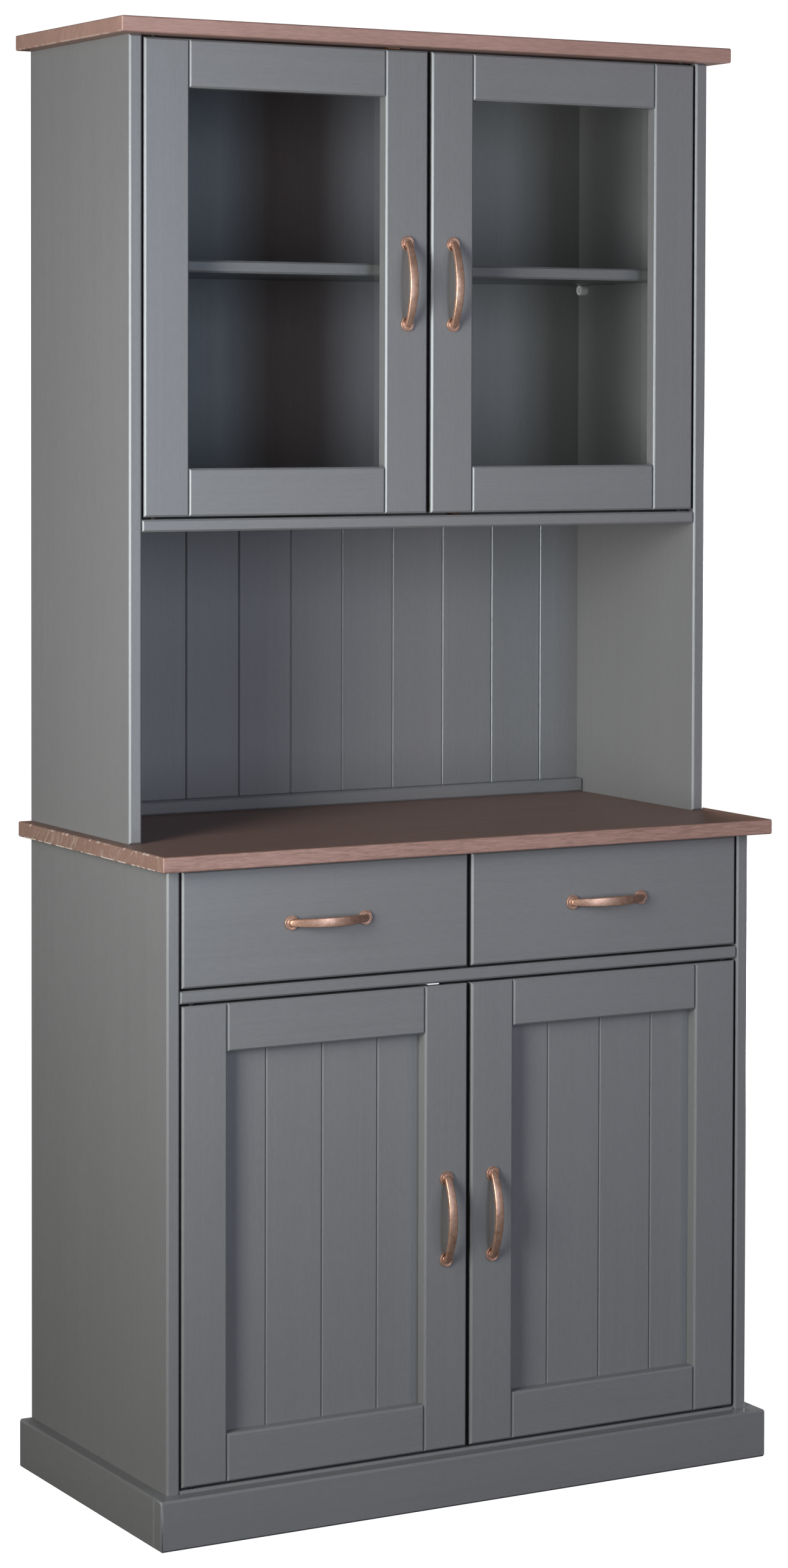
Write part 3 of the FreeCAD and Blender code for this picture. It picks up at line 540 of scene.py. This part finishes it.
# %% Tools for any piece
SIDES = {
    "front": Vector((0, -1, 0)),
    "back": Vector((0, 1, 0)),
    "left": Vector((-1, 0, 0)),
    "right": Vector((1, 0, 0)),
}
FACING = 0.99  # a cosine
SPARE = 0.005  # how far a cutter reaches past the wood
HAIR = 0.0001  # allowance where places are compared
SHARP, BLUNT = 50, 35  # degrees between faces


def pick(*pieces):
    """Select these pieces only, the first as the active one."""
    bpy.ops.object.select_all(action="DESELECT")
    for piece in pieces:
        piece.select_set(True)
    bpy.context.view_layer.objects.active = pieces[0]


def block(low, high):
    low, high = Vector(low), Vector(high)
    bpy.ops.object.select_all(action="DESELECT")
    bpy.ops.mesh.primitive_cube_add(size=1, location=(low + high) / 2, scale=high - low)
    bpy.ops.object.transform_apply(location=True, rotation=True, scale=True)
    return bpy.context.object


def modify(piece, kind, **settings):
    """Add a modifier and apply it."""
    pick(piece)
    bpy.ops.object.modifier_add(type=kind)
    modifier = piece.modifiers[-1]
    for name, value in settings.items():
        setattr(modifier, name, value)
    bpy.ops.object.modifier_apply(modifier=modifier.name)


def carve(piece, cutter, operation="DIFFERENCE"):
    modify(piece, "BOOLEAN", operation=operation, object=cutter, solver="EXACT")
    bpy.data.objects.remove(cutter)


def join(pieces):
    pick(*pieces)
    bpy.ops.object.join()
    return pieces[0]


def shade_round(piece, degrees):
    """Shade as curves where faces meet at less than an angle."""
    pick(piece)
    bpy.ops.object.shade_smooth_by_angle(angle=math.radians(degrees))
    return piece


def settle(piece, node, *finishes):
    """Name a piece, give it its finish, and let it stand for its solid."""
    piece.name = f"{node}_made"
    piece.data.name = piece.name
    for finish in finishes:
        piece.data.materials.append(finish)
    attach(piece, body_of[node])
    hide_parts(node)
    return piece


print(len(SIDES), "sides to choose edges by")

# %% Tools for boards
ARRIS = 0.0025
EASED, EASED_STEPS = 0.0004, 2
ROUND_STEPS, BOARD_STEPS = 3, 4
CREASE = math.cos(math.radians(40))
OUTWARD = -1e-6


def smooth(piece):
    """Shade roundings as curves, and let the broad faces stay flat."""
    shade_round(piece, SHARP)
    modify(piece, "WEIGHTED_NORMAL", weight=100, keep_sharp=True)
    return piece


def bevel(piece, width, steps, chosen):
    """Bevel the outward edges whose pair of faces is chosen."""
    neighbours = {}
    for face in piece.data.polygons:
        for key in face.edge_keys:
            neighbours.setdefault(key, []).append(face)
    weights = piece.data.attributes.new("bevel_weight_edge", "FLOAT", "EDGE")
    for edge in piece.data.edges:
        first, second = neighbours[edge.key]
        outward = (second.center - first.center).dot(first.normal) < OUTWARD
        if outward and first.normal.dot(second.normal) < CREASE and chosen(first, second):
            weights.data[edge.index].value = 1.0
    modify(piece, "BEVEL", limit_method="WEIGHT", width=width, segments=steps)
    piece.data.attributes.remove(piece.data.attributes["bevel_weight_edge"])


def looking(sides):
    """A choice of edges: those with a face that looks to one of these sides."""
    directions = [SIDES[side] for side in sides]
    return lambda *faces: any(face.normal.dot(side) > FACING for face in faces for side in directions)


def trim(piece, bold, width=ARRIS, eased=EASED, steps=1):
    """Take off the arrises round the bold sides, flat or in more steps, and ease the other edges."""
    if bold:
        bevel(piece, width, steps, looking(bold))
    if eased:
        bevel(piece, eased, EASED_STEPS, lambda *faces: True)
    return smooth(piece)


def board(node, finish, bold=("front",), steps=1):
    """One plain board in the box of its solid."""
    return settle(trim(block(*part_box(node)), bold, steps=steps), node, finish)


print("arrises", 1000 * ARRIS, "mm wide")

# %% [markdown]
# ## Boards of the two cases
#
# The side panels stand upright with their grain, and the tops, floors and shelves lie across. A side
# panel has a rebate along its back inner edge, where the back panel lies. A joiner planes it out of the
# finished board, and here a second block carves it out in the same way.

# %% Boards of the two cases
REBATE_DEEP, REBATE_WIDE = 0.006, 0.009
OVERHANGING = ("front", "left", "right")
LYING = (
    "upper_bottom_board", "upper_shelf", "niche_foot_rail",
    "drawer_board", "lower_shelf", "lower_bottom_board",
)


def side_panel(node, inner):
    low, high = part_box(node)
    panel = block(low, high)
    start = high.x - REBATE_WIDE if inner == "right" else low.x - SPARE
    end = start + REBATE_WIDE + SPARE
    rebate = block(
        (start, high.y - REBATE_DEEP, low.z - SPARE),
        (end, high.y + SPARE, high.z + SPARE),
    )
    carve(panel, rebate)
    return settle(trim(panel, ("front",)), node, paint_up)


for level in ("upper", "lower"):
    side_panel(f"{level}_side_left", inner="right")
    side_panel(f"{level}_side_right", inner="left")
for node in LYING:
    board(node, paint_across)
board("drawer_divider", paint_deep)
board("top_board", top_stain, OVERHANGING, steps=BOARD_STEPS)
board("worktop", worktop_stain, OVERHANGING, steps=BOARD_STEPS)
for node in ("upper_back_panel", "lower_back_panel"):
    board(node, paint_up, ())
board("plinth_front", paint_across, OVERHANGING)

# %% Plinth sides
PLINTH_SIDE = 0.018

low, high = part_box("plinth_sides")
left_side = trim(block(low, (low.x + PLINTH_SIDE, high.y, high.z)), ("left",))
right_side = trim(block((high.x - PLINTH_SIDE, low.y, low.z), high), ("right",))
settle(join([left_side, right_side]), "plinth_sides", paint_deep)
print("plinth", round(1000 * high.z), "mm high")

# %% [markdown]
# ## Tongued and grooved boards
#
# The niche's back and the lower doors' panels are narrow boards side by side. A chamfer on both edges of
# each face makes the V at the joint, and a tongue on one edge runs in a groove of the next board. Behind,
# the edges are only eased, so that the joints show as fine lines there. Such a board is a long extrusion,
# so it starts as a filled outline, with one point for each corner, that is extruded upwards.

# %% Tongued and grooved boards
FACE_WIDTH = 0.0796
VEE, VEE_EASED = 0.0017, 0.0006
TONGUE_LONG, TONGUE_THICK = 0.005, 0.0022
PLAY, TIP_PLAY = 0.00005, 0.0002
NARROWEST = 0.002  # a joint nearer than this to the panel's edge is left out
ANY_RADIUS = 0.01  # the corners move to their places afterwards
LINING_SHIFT = -0.0075
PANEL_SHIFT = {"left": 0.001, "right": 0.0015}


def extrusion(outline, bottom, height):
    """A prism on an outline of (x, y) corners."""
    bpy.ops.object.select_all(action="DESELECT")
    bpy.ops.mesh.primitive_circle_add(vertices=len(outline), radius=ANY_RADIUS, fill_type="NGON")
    piece = bpy.context.object
    for vertex, (x, y) in zip(piece.data.vertices, outline):
        vertex.co = (x, y, bottom)
    bpy.ops.object.mode_set(mode="EDIT")
    bpy.ops.mesh.select_all(action="SELECT")
    bpy.ops.mesh.extrude_region_move(TRANSFORM_OT_translate={"value": (0, 0, height)})
    bpy.ops.mesh.select_all(action="SELECT")
    bpy.ops.mesh.normals_make_consistent(inside=False)
    bpy.ops.object.mode_set(mode="OBJECT")
    return piece


def matched_board(left, right, face, back, tongue, groove):
    """The outline of one board, if wanted with a tongue on its right and a groove on its left."""
    middle = (face + back) / 2
    near, far = middle - TONGUE_THICK / 2, middle + TONGUE_THICK / 2
    outline = [(left + VEE, face), (right - VEE, face), (right, face + VEE)]
    if tongue:
        tip = right + TONGUE_LONG - TIP_PLAY
        outline += [(right, near), (tip, near), (tip, far), (right, far)]
    outline += [(right, back), (left, back)]
    if groove:
        root = left + TONGUE_LONG
        outline += [(left, far + PLAY), (root, far + PLAY), (root, near - PLAY), (left, near - PLAY)]
    return [*outline, (left, face + VEE)]


def matched_boards(node, joints):
    """The boards of a panel, between joints at these places from left to right."""
    low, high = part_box(node)
    inner = [x for x in joints if low.x + NARROWEST < x < high.x - NARROWEST]
    edges = [low.x, *inner, high.x]
    last = len(edges) - 2
    boards = []
    for count, (left, right) in enumerate(zip(edges, edges[1:])):
        outline = matched_board(left, right, low.y, high.y, tongue=count < last, groove=count > 0)
        boards.append(extrusion(outline, low.z, high.z - low.z))
    panel = join(boards)
    bevel(panel, EASED, 1, lambda *faces: any(face.center.y > high.y - HAIR for face in faces))
    return settle(trim(panel, ("front",), width=VEE_EASED, eased=0.0, steps=ROUND_STEPS), node, paint_up)


matched_boards("niche_back_boards", [LINING_SHIFT + (count + 0.5) * FACE_WIDTH for count in range(-6, 6)])
for side, shift in PANEL_SHIFT.items():
    node = f"lower_{side}_door_panel_boards"
    low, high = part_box(node)
    middle = (low.x + high.x) / 2 + shift
    matched_boards(node, [middle + count * FACE_WIDTH for count in range(-3, 4)])
print("V joints every", 1000 * FACE_WIDTH, "mm")

# %% [markdown]
# ## Doors
#
# A door is a frame: two stiles run its whole height, and two rails fit between them. Each piece lost its
# arrises before the frame was put together, so every joint shows as a fine line. Behind, a pocket is cut
# round the opening for the pane or the panel. One block cuts it from stiles and rails alike, so that it
# lines up at the corners. The bushes of the pivots need holes in one of the stiles.

# %% Doors
STILE, RAIL = 0.0625, 0.061
POCKET_LAP, POCKET_DEEP = 0.008, 0.0065
BUSH_RADIUS, BUSH_LONG, BUSH_CORNERS = 0.00455, 0.01305, 32
PIVOT_INSET, PIVOT_SETBACK = 0.016, 0.0085
DOORS = [f"{level}_{side}_door" for level in ("upper", "lower") for side in ("left", "right")]
TURNS = {"x": (0, math.pi / 2, 0), "y": (math.pi / 2, 0, 0), "z": (0, 0, 0)}


def rod(radius, length, middle, axis, corners):
    """A round bar along an axis."""
    bpy.ops.object.select_all(action="DESELECT")
    bpy.ops.mesh.primitive_cylinder_add(
        vertices=corners, radius=radius, depth=length, location=middle, rotation=TURNS[axis]
    )
    bpy.ops.object.transform_apply(location=True, rotation=True, scale=True)
    return bpy.context.object


def pocket_of(low, high):
    """A block that cuts the pocket out of the back of a door's frame."""
    return block(
        (low.x + STILE - POCKET_LAP, high.y - POCKET_DEEP, low.z + RAIL - POCKET_LAP),
        (high.x - STILE + POCKET_LAP, high.y + SPARE, high.z - RAIL + POCKET_LAP),
    )


def make_frame(door):
    low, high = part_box(f"{door}_stiles")
    stiles = []
    for start in (low.x, high.x - STILE):
        stile = block((start, low.y, low.z), (start + STILE, high.y, high.z))
        carve(stile, pocket_of(low, high))
        stiles.append(trim(stile, ("front",)))
    hinge = low.x + PIVOT_INSET if "_left_" in door else high.x - PIVOT_INSET
    hung = stiles[0] if "_left_" in door else stiles[1]
    for middle in (low.z + (BUSH_LONG - SPARE) / 2, high.z - (BUSH_LONG - SPARE) / 2):
        place = (hinge, low.y + PIVOT_SETBACK, middle)
        carve(hung, rod(BUSH_RADIUS, BUSH_LONG + SPARE, place, "z", BUSH_CORNERS))
    smooth(hung)
    settle(join(stiles), f"{door}_stiles", paint_up)
    rails = []
    for start in (low.z, high.z - RAIL):
        rail = block((low.x + STILE, low.y, start), (high.x - STILE, high.y, start + RAIL))
        carve(rail, pocket_of(low, high))
        rails.append(rail)
    settle(trim(join(rails), ("front",)), f"{door}_rails", paint_across)


for door in DOORS:
    make_frame(door)
print(len(DOORS), "door frames")

# %% [markdown]
# ## Panes
#
# A pane lies in the pocket, and four beads hold it there. Glass would mirror the lamps of the studio and
# turn white in some views, so light linking leaves the panes out of what the lamps shine on. What stands
# behind a pane is lit as before.

# %% Panes and beads
BEAD, BEAD_ROUND, BEAD_EASED = 0.004, 0.0008, 0.0002
panes = bpy.data.collections.new("panes_that_mirror_no_lamp")

for side in ("left", "right"):
    door = f"upper_{side}_door"
    pane = trim(block(*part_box(f"{door}_glass")), ())
    panes.objects.link(settle(pane, f"{door}_glass", glass))
    low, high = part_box(f"{door}_glass_beads")
    beads = []
    for start in (low.x, high.x - BEAD):
        beads.append(block((start, low.y, low.z), (start + BEAD, high.y, high.z)))
    for start in (low.z, high.z - BEAD):
        beads.append(block((low.x + BEAD, low.y, start), (high.x - BEAD, high.y, start + BEAD)))
    rounded = trim(join(beads), ("back",), width=BEAD_ROUND, eased=BEAD_EASED, steps=ROUND_STEPS)
    settle(rounded, f"{door}_glass_beads", paint_up)
for member in panes.collection_objects:
    member.light_linking.link_state = "EXCLUDE"
for light in lamps:
    light.light_linking.receiver_collection = panes

# %% [markdown]
# ## Drawers
#
# The fronts match the doors. Behind each, two sides and a back in bare pine hold a thin bottom. A slot in
# each side hangs on a runner. The three walls are one mesh with two finishes, because the grain runs
# along each wall, and so across the drawer on the back.

# %% Drawers
WALL, WALL_EASED = 0.013, 0.001
HOUSED = 0.008
SLOT_DEEP = 0.0063
RUNNER, RUNNER_PLAY, RUNNER_EASED = 0.009, 0.0003, 0.0008


def drawer_wall(low, high, outer, runner):
    """A side of a drawer box, its runner's slot in the face at x = outer."""
    wall = block(low, high)
    slot = block(
        (outer - SLOT_DEEP, low.y + HOUSED, runner[0].z - RUNNER_PLAY),
        (outer + SLOT_DEEP, high.y + SPARE, runner[1].z + RUNNER_PLAY),
    )
    carve(wall, slot)
    return wall


runner_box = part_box("drawer_runners")
for side in ("left", "right"):
    board(f"{side}_drawer_front", paint_across)
    low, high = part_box(f"{side}_drawer_box_walls")
    walls = [
        drawer_wall(low, Vector((low.x + WALL, high.y, high.z)), low.x, runner_box),
        drawer_wall(Vector((high.x - WALL, low.y, low.z)), high, high.x, runner_box),
        block((low.x + WALL, high.y - WALL, low.z), (high.x - WALL, high.y, high.z)),
    ]
    box = trim(join(walls), (), eased=WALL_EASED)
    settle(box, f"{side}_drawer_box_walls", pine_deep, pine_across)
    for face in box.data.polygons:
        between = low.x + WALL - HAIR < face.center.x < high.x - WALL + HAIR
        face.material_index = int(between and face.center.y > high.y - WALL - HAIR)
    board(f"{side}_drawer_bottom", pine_across, ())

low, high = runner_box
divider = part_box("drawer_divider")
starts = (low.x, divider[0].x - RUNNER, divider[1].x, high.x - RUNNER)
runners = [block((start, low.y, low.z), (start + RUNNER, high.y, high.z)) for start in starts]
settle(trim(join(runners), (), eased=RUNNER_EASED), "drawer_runners", pine_deep)
print("two drawers on", len(starts), "runners")

# %% [markdown]
# ## Handles
#
# One bow handle is modelled upright at the origin and copied six times. A rosette starts as a disc: its
# face is inset and pushed in for the dish, then inset and raised again for the boss. The bow is a
# rectangle spun along an arc about a point behind the door, wide in the middle and narrower at its feet.
# A union makes one casting of them.

# %% Rosettes
ROSETTE, ROSETTE_THICK, ROSETTE_CORNERS = 0.0094, 0.0028, 48
RIM, DISH, BOSS, BOSS_RISE = 0.0014, 0.0012, 0.0054, 0.8
SAME_LEVEL = 1e-5


def face_select(piece, direction):
    """Go into edit mode with only the faces that look in a direction selected, those furthest that way."""
    faces = [face for face in piece.data.polygons if face.normal.dot(direction) > FACING]
    furthest = max(face.center.dot(direction) for face in faces)
    for part in (piece.data.vertices, piece.data.edges, piece.data.polygons):
        part.foreach_set("select", [False] * len(part))
    for face in faces:
        face.select = face.center.dot(direction) > furthest - SAME_LEVEL
    bpy.ops.object.mode_set(mode="EDIT")
    bpy.ops.mesh.select_mode(type="FACE")


def soften(piece, degrees, width, steps):
    """Bevel every edge that is sharper than an angle."""
    limit = math.radians(degrees)
    modify(piece, "BEVEL", limit_method="ANGLE", angle_limit=limit, width=width, segments=steps)


def rosette(height):
    disc = rod(ROSETTE, ROSETTE_THICK, (0, -ROSETTE_THICK / 2, height), "y", ROSETTE_CORNERS)
    face_select(disc, SIDES["front"])
    bpy.ops.mesh.inset(thickness=RIM)
    bpy.ops.mesh.extrude_region_move(TRANSFORM_OT_translate={"value": (0, DISH, 0)})
    bpy.ops.mesh.inset(thickness=ROSETTE - RIM - BOSS)
    bpy.ops.mesh.extrude_region_move(TRANSFORM_OT_translate={"value": (0, -DISH * BOSS_RISE, 0)})
    bpy.ops.object.mode_set(mode="OBJECT")
    soften(disc, SHARP, EASED, ROUND_STEPS)
    return disc


print("rosettes", round(2000 * ROSETTE, 1), "mm wide")

# %% Bow handle
SPACING = 0.105
PROJECTION = 0.022
BOW_THICK, BOW_WIDE, BOW_END = 0.005, 0.012, 0.009
BOW_STEPS, BOW_TIP, BOW_BACK = 96, 0.0002, -0.0004
BOW_CHAMFER, BOW_EASED = 0.0014, 0.0004
BOW_CURVED = 38  # degrees between faces
FOOT = 0.005
TOUCHING = 1e-6


def bow_half_width(height):
    """Half of the bow's width: widest in the middle, and round past the screws."""
    past = abs(height) - SPACING / 2
    if past > 0:
        return math.sqrt(max((BOW_END / 2) ** 2 - past ** 2, BOW_TIP ** 2))
    share = abs(height) / (SPACING / 2)
    return (BOW_WIDE + (BOW_END - BOW_WIDE) * share ** 2) / 2


def bow():
    half = (SPACING + BOW_END) / 2
    rise = PROJECTION - FOOT
    radius = (half ** 2 + rise ** 2) / (2 * rise)
    reach = math.asin(half / radius)
    axis = Vector((0, radius - PROJECTION, 0))
    bpy.ops.object.select_all(action="DESELECT")
    bpy.ops.mesh.primitive_plane_add(size=1, location=(0, BOW_THICK / 2 - radius, 0))
    bar = bpy.context.object
    bar.scale = (1, BOW_THICK, 1)
    bpy.ops.object.transform_apply(location=True, rotation=True, scale=True)
    bar.rotation_euler = (reach, 0, 0)
    bar.location = axis
    bpy.ops.object.transform_apply(location=True, rotation=True, scale=True)
    bpy.ops.object.mode_set(mode="EDIT")
    bpy.ops.mesh.select_all(action="SELECT")
    bpy.ops.mesh.spin(steps=BOW_STEPS, angle=2 * reach, center=axis, axis=(1, 0, 0))
    bpy.ops.mesh.select_all(action="SELECT")
    bpy.ops.mesh.remove_doubles(threshold=TOUCHING)
    bpy.ops.mesh.normals_make_consistent(inside=False)
    bpy.ops.object.mode_set(mode="OBJECT")
    for vertex in bar.data.vertices:
        vertex.co.x *= 2 * bow_half_width(vertex.co.z)
        vertex.co.y = min(vertex.co.y, BOW_BACK)
    soften(bar, SHARP, BOW_CHAMFER, 1)
    soften(bar, BLUNT, BOW_EASED, EASED_STEPS)
    return bar


handle = bow()
for height in (SPACING / 2, -SPACING / 2):
    carve(handle, rosette(height), "UNION")
shade_round(handle, BOW_CURVED)
print("bow handle", [round(1000 * size, 1) for size in handle.dimensions], "mm")

# %% Screws
SCREW_HEAD, SCREW_HEAD_HIGH, SCREW_SHANK = 0.004, 0.0024, 0.002
SCREW_REACH, SCREW_BITE = 0.006, 0.0002
HEAD_ROUND, HEAD_CORNERS, SHANK_CORNERS = 0.0011, 24, 20
CROSS_LONG, CROSS_WIDE, CROSS_DEEP = 0.0024, 0.0004, 0.0013
DOOR_THICK, DRAWER_THICK = 0.024, 0.020


def screw_pattern(thick):
    """A pan head screw along y, its head behind a front of that thickness and its tip in the handle."""
    top = thick + SCREW_HEAD_HIGH
    middle = (0, thick + SCREW_HEAD_HIGH / 2, 0)
    head = rod(SCREW_HEAD, SCREW_HEAD_HIGH, middle, "y", HEAD_CORNERS)
    face_select(head, SIDES["back"])
    bpy.ops.mesh.bevel(offset=HEAD_ROUND, segments=ROUND_STEPS, affect="EDGES")
    bpy.ops.object.mode_set(mode="OBJECT")
    for wide, tall in ((CROSS_LONG, CROSS_WIDE), (CROSS_WIDE, CROSS_LONG)):
        carve(head, block((-wide, top - CROSS_DEEP, -tall), (wide, top + SPARE, tall)))
    middle = (0, (thick - SCREW_REACH) / 2 + SCREW_BITE, 0)
    carve(head, rod(SCREW_SHANK, thick + SCREW_REACH, middle, "y", SHANK_CORNERS), "UNION")
    return shade_round(head, BLUNT)


def copy_of(pattern, matrix):
    """A copy with a mesh of its own, at a place that its mesh holds."""
    copy = bpy.data.objects.new(pattern.name, pattern.data.copy())
    bpy.context.collection.objects.link(copy)
    copy.data.transform(matrix)
    return copy


door_screw, drawer_screw = screw_pattern(DOOR_THICK), screw_pattern(DRAWER_THICK)
upright, lying = Matrix.Identity(4), Matrix.Rotation(math.pi / 2, 4, "Y")
for owner in DOORS + ["left_drawer", "right_drawer"]:
    low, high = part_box(f"{owner}_handle")
    turn, screw = (lying, drawer_screw) if "drawer" in owner else (upright, door_screw)
    place = Matrix.Translation(((low.x + high.x) / 2, high.y, (low.z + high.z) / 2)) @ turn
    settle(copy_of(handle, place), f"{owner}_handle", copper)
    heights = (-SPACING / 2, SPACING / 2)
    pair = [copy_of(screw, place @ Matrix.Translation((0, 0, height))) for height in heights]
    settle(join(pair), f"{owner}_handle_screws", steel)
for pattern in (handle, door_screw, drawer_screw):
    bpy.data.objects.remove(pattern)
print("six handles with two screws each")

# %% [markdown]
# ## Shelf supports and door stops
#
# A shelf support is a plastic bush on a peg in the side panel. It starts as a short rod, and its end is
# inset and pushed in for the hole, as on the rosettes. The stops are small plastic angles that a door
# shuts against, each a block with a corner cut out. Those over the left doors reach to the front, where
# they show, and those under the right doors are shorter.

# %% Shelf supports
SUPPORT, SUPPORT_LONG, SUPPORT_BORE = 0.007, 0.012, 0.0025
SUPPORT_FLOOR, SUPPORT_EASED, SUPPORT_CORNERS = 0.001, 0.0006, 40
PEG, PEG_LONG, PEG_BITE, PEG_CORNERS = 0.004, 0.009, 0.0005, 24
SUPPORT_INSET = 0.020


def support():
    """A support that points along x from the origin, its peg behind it."""
    bush = rod(SUPPORT, SUPPORT_LONG, (SUPPORT_LONG / 2, 0, 0), "x", SUPPORT_CORNERS)
    face_select(bush, SIDES["right"])
    bpy.ops.mesh.inset(thickness=SUPPORT - SUPPORT_BORE)
    push = (SUPPORT_FLOOR - SUPPORT_LONG, 0, 0)
    bpy.ops.mesh.extrude_region_move(TRANSFORM_OT_translate={"value": push})
    bpy.ops.object.mode_set(mode="OBJECT")
    soften(bush, SHARP, SUPPORT_EASED, ROUND_STEPS)
    middle = ((PEG_BITE - PEG_LONG) / 2, 0, 0)
    carve(bush, rod(PEG, PEG_LONG + PEG_BITE, middle, "x", PEG_CORNERS), "UNION")
    return shade_round(bush, BLUNT)


bush = support()
low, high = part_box("shelf_supports")
supports = []
for shelf in ("upper_shelf", "lower_shelf"):
    shelf_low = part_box(shelf)[0]
    for y in (shelf_low.y + SUPPORT_INSET, high.y - SUPPORT):
        for x, turn in ((low.x + PEG_LONG, 0.0), (high.x - PEG_LONG, math.pi)):
            place = Matrix.Translation((x, y, shelf_low.z - SUPPORT)) @ Matrix.Rotation(turn, 4, "Z")
            supports.append(copy_of(bush, place))
bpy.data.objects.remove(bush)
settle(join(supports), "shelf_supports", white_plastic)
print(len(supports), "shelf supports")

# %% Door stops
STOP_PLATE, STOP_LIP = 0.002, 0.008
STOP_WIDE, STOP_TALL, STOP_EASED = 0.016, 0.010, 0.0006
SHORT_COVER = 0.006

for level, finish in (("upper", brown_plastic), ("lower", white_plastic)):
    low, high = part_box(f"{level}_door_stops")
    angles = []
    hung = (low.x, low.y, high.z - STOP_TALL, -STOP_PLATE)
    standing = (high.x - STOP_WIDE, high.y - STOP_LIP - SHORT_COVER, low.z, STOP_PLATE)
    for start, near, foot, shift in (hung, standing):
        angle = block((start, near, foot), (start + STOP_WIDE, high.y, foot + STOP_TALL))
        corner = block(
            (start - SPARE, near - SPARE, foot + shift),
            (start + STOP_WIDE + SPARE, high.y - STOP_LIP, foot + shift + STOP_TALL),
        )
        carve(angle, corner)
        angles.append(angle)
    settle(trim(join(angles), (), eased=STOP_EASED), f"{level}_door_stops", finish)
print("four door stops")

# %% [markdown]
# ## Pieces that stay as they are
#
# Dowels, pivot pins and their bushes are plain turned shapes that the solids already show, so they only
# get a finish.

# %% Finishes of the solids that stay
# The pivot pins take the near-black steel: painted shade for the dark gaps round them.
stays = {"case_dowels": pine_across, "hinge_pins": shade_black_steel}
stays.update({f"{door}_hinge_bushes": brown_plastic for door in DOORS})
for node, finish in stays.items():
    frame["nodes"][node].data.materials.clear()
    frame["nodes"][node].data.materials.append(finish)
shown = [piece.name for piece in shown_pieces()]
print(len(shown), "pieces shown, of which", sum(name.endswith("_made") for name in shown), "are new")
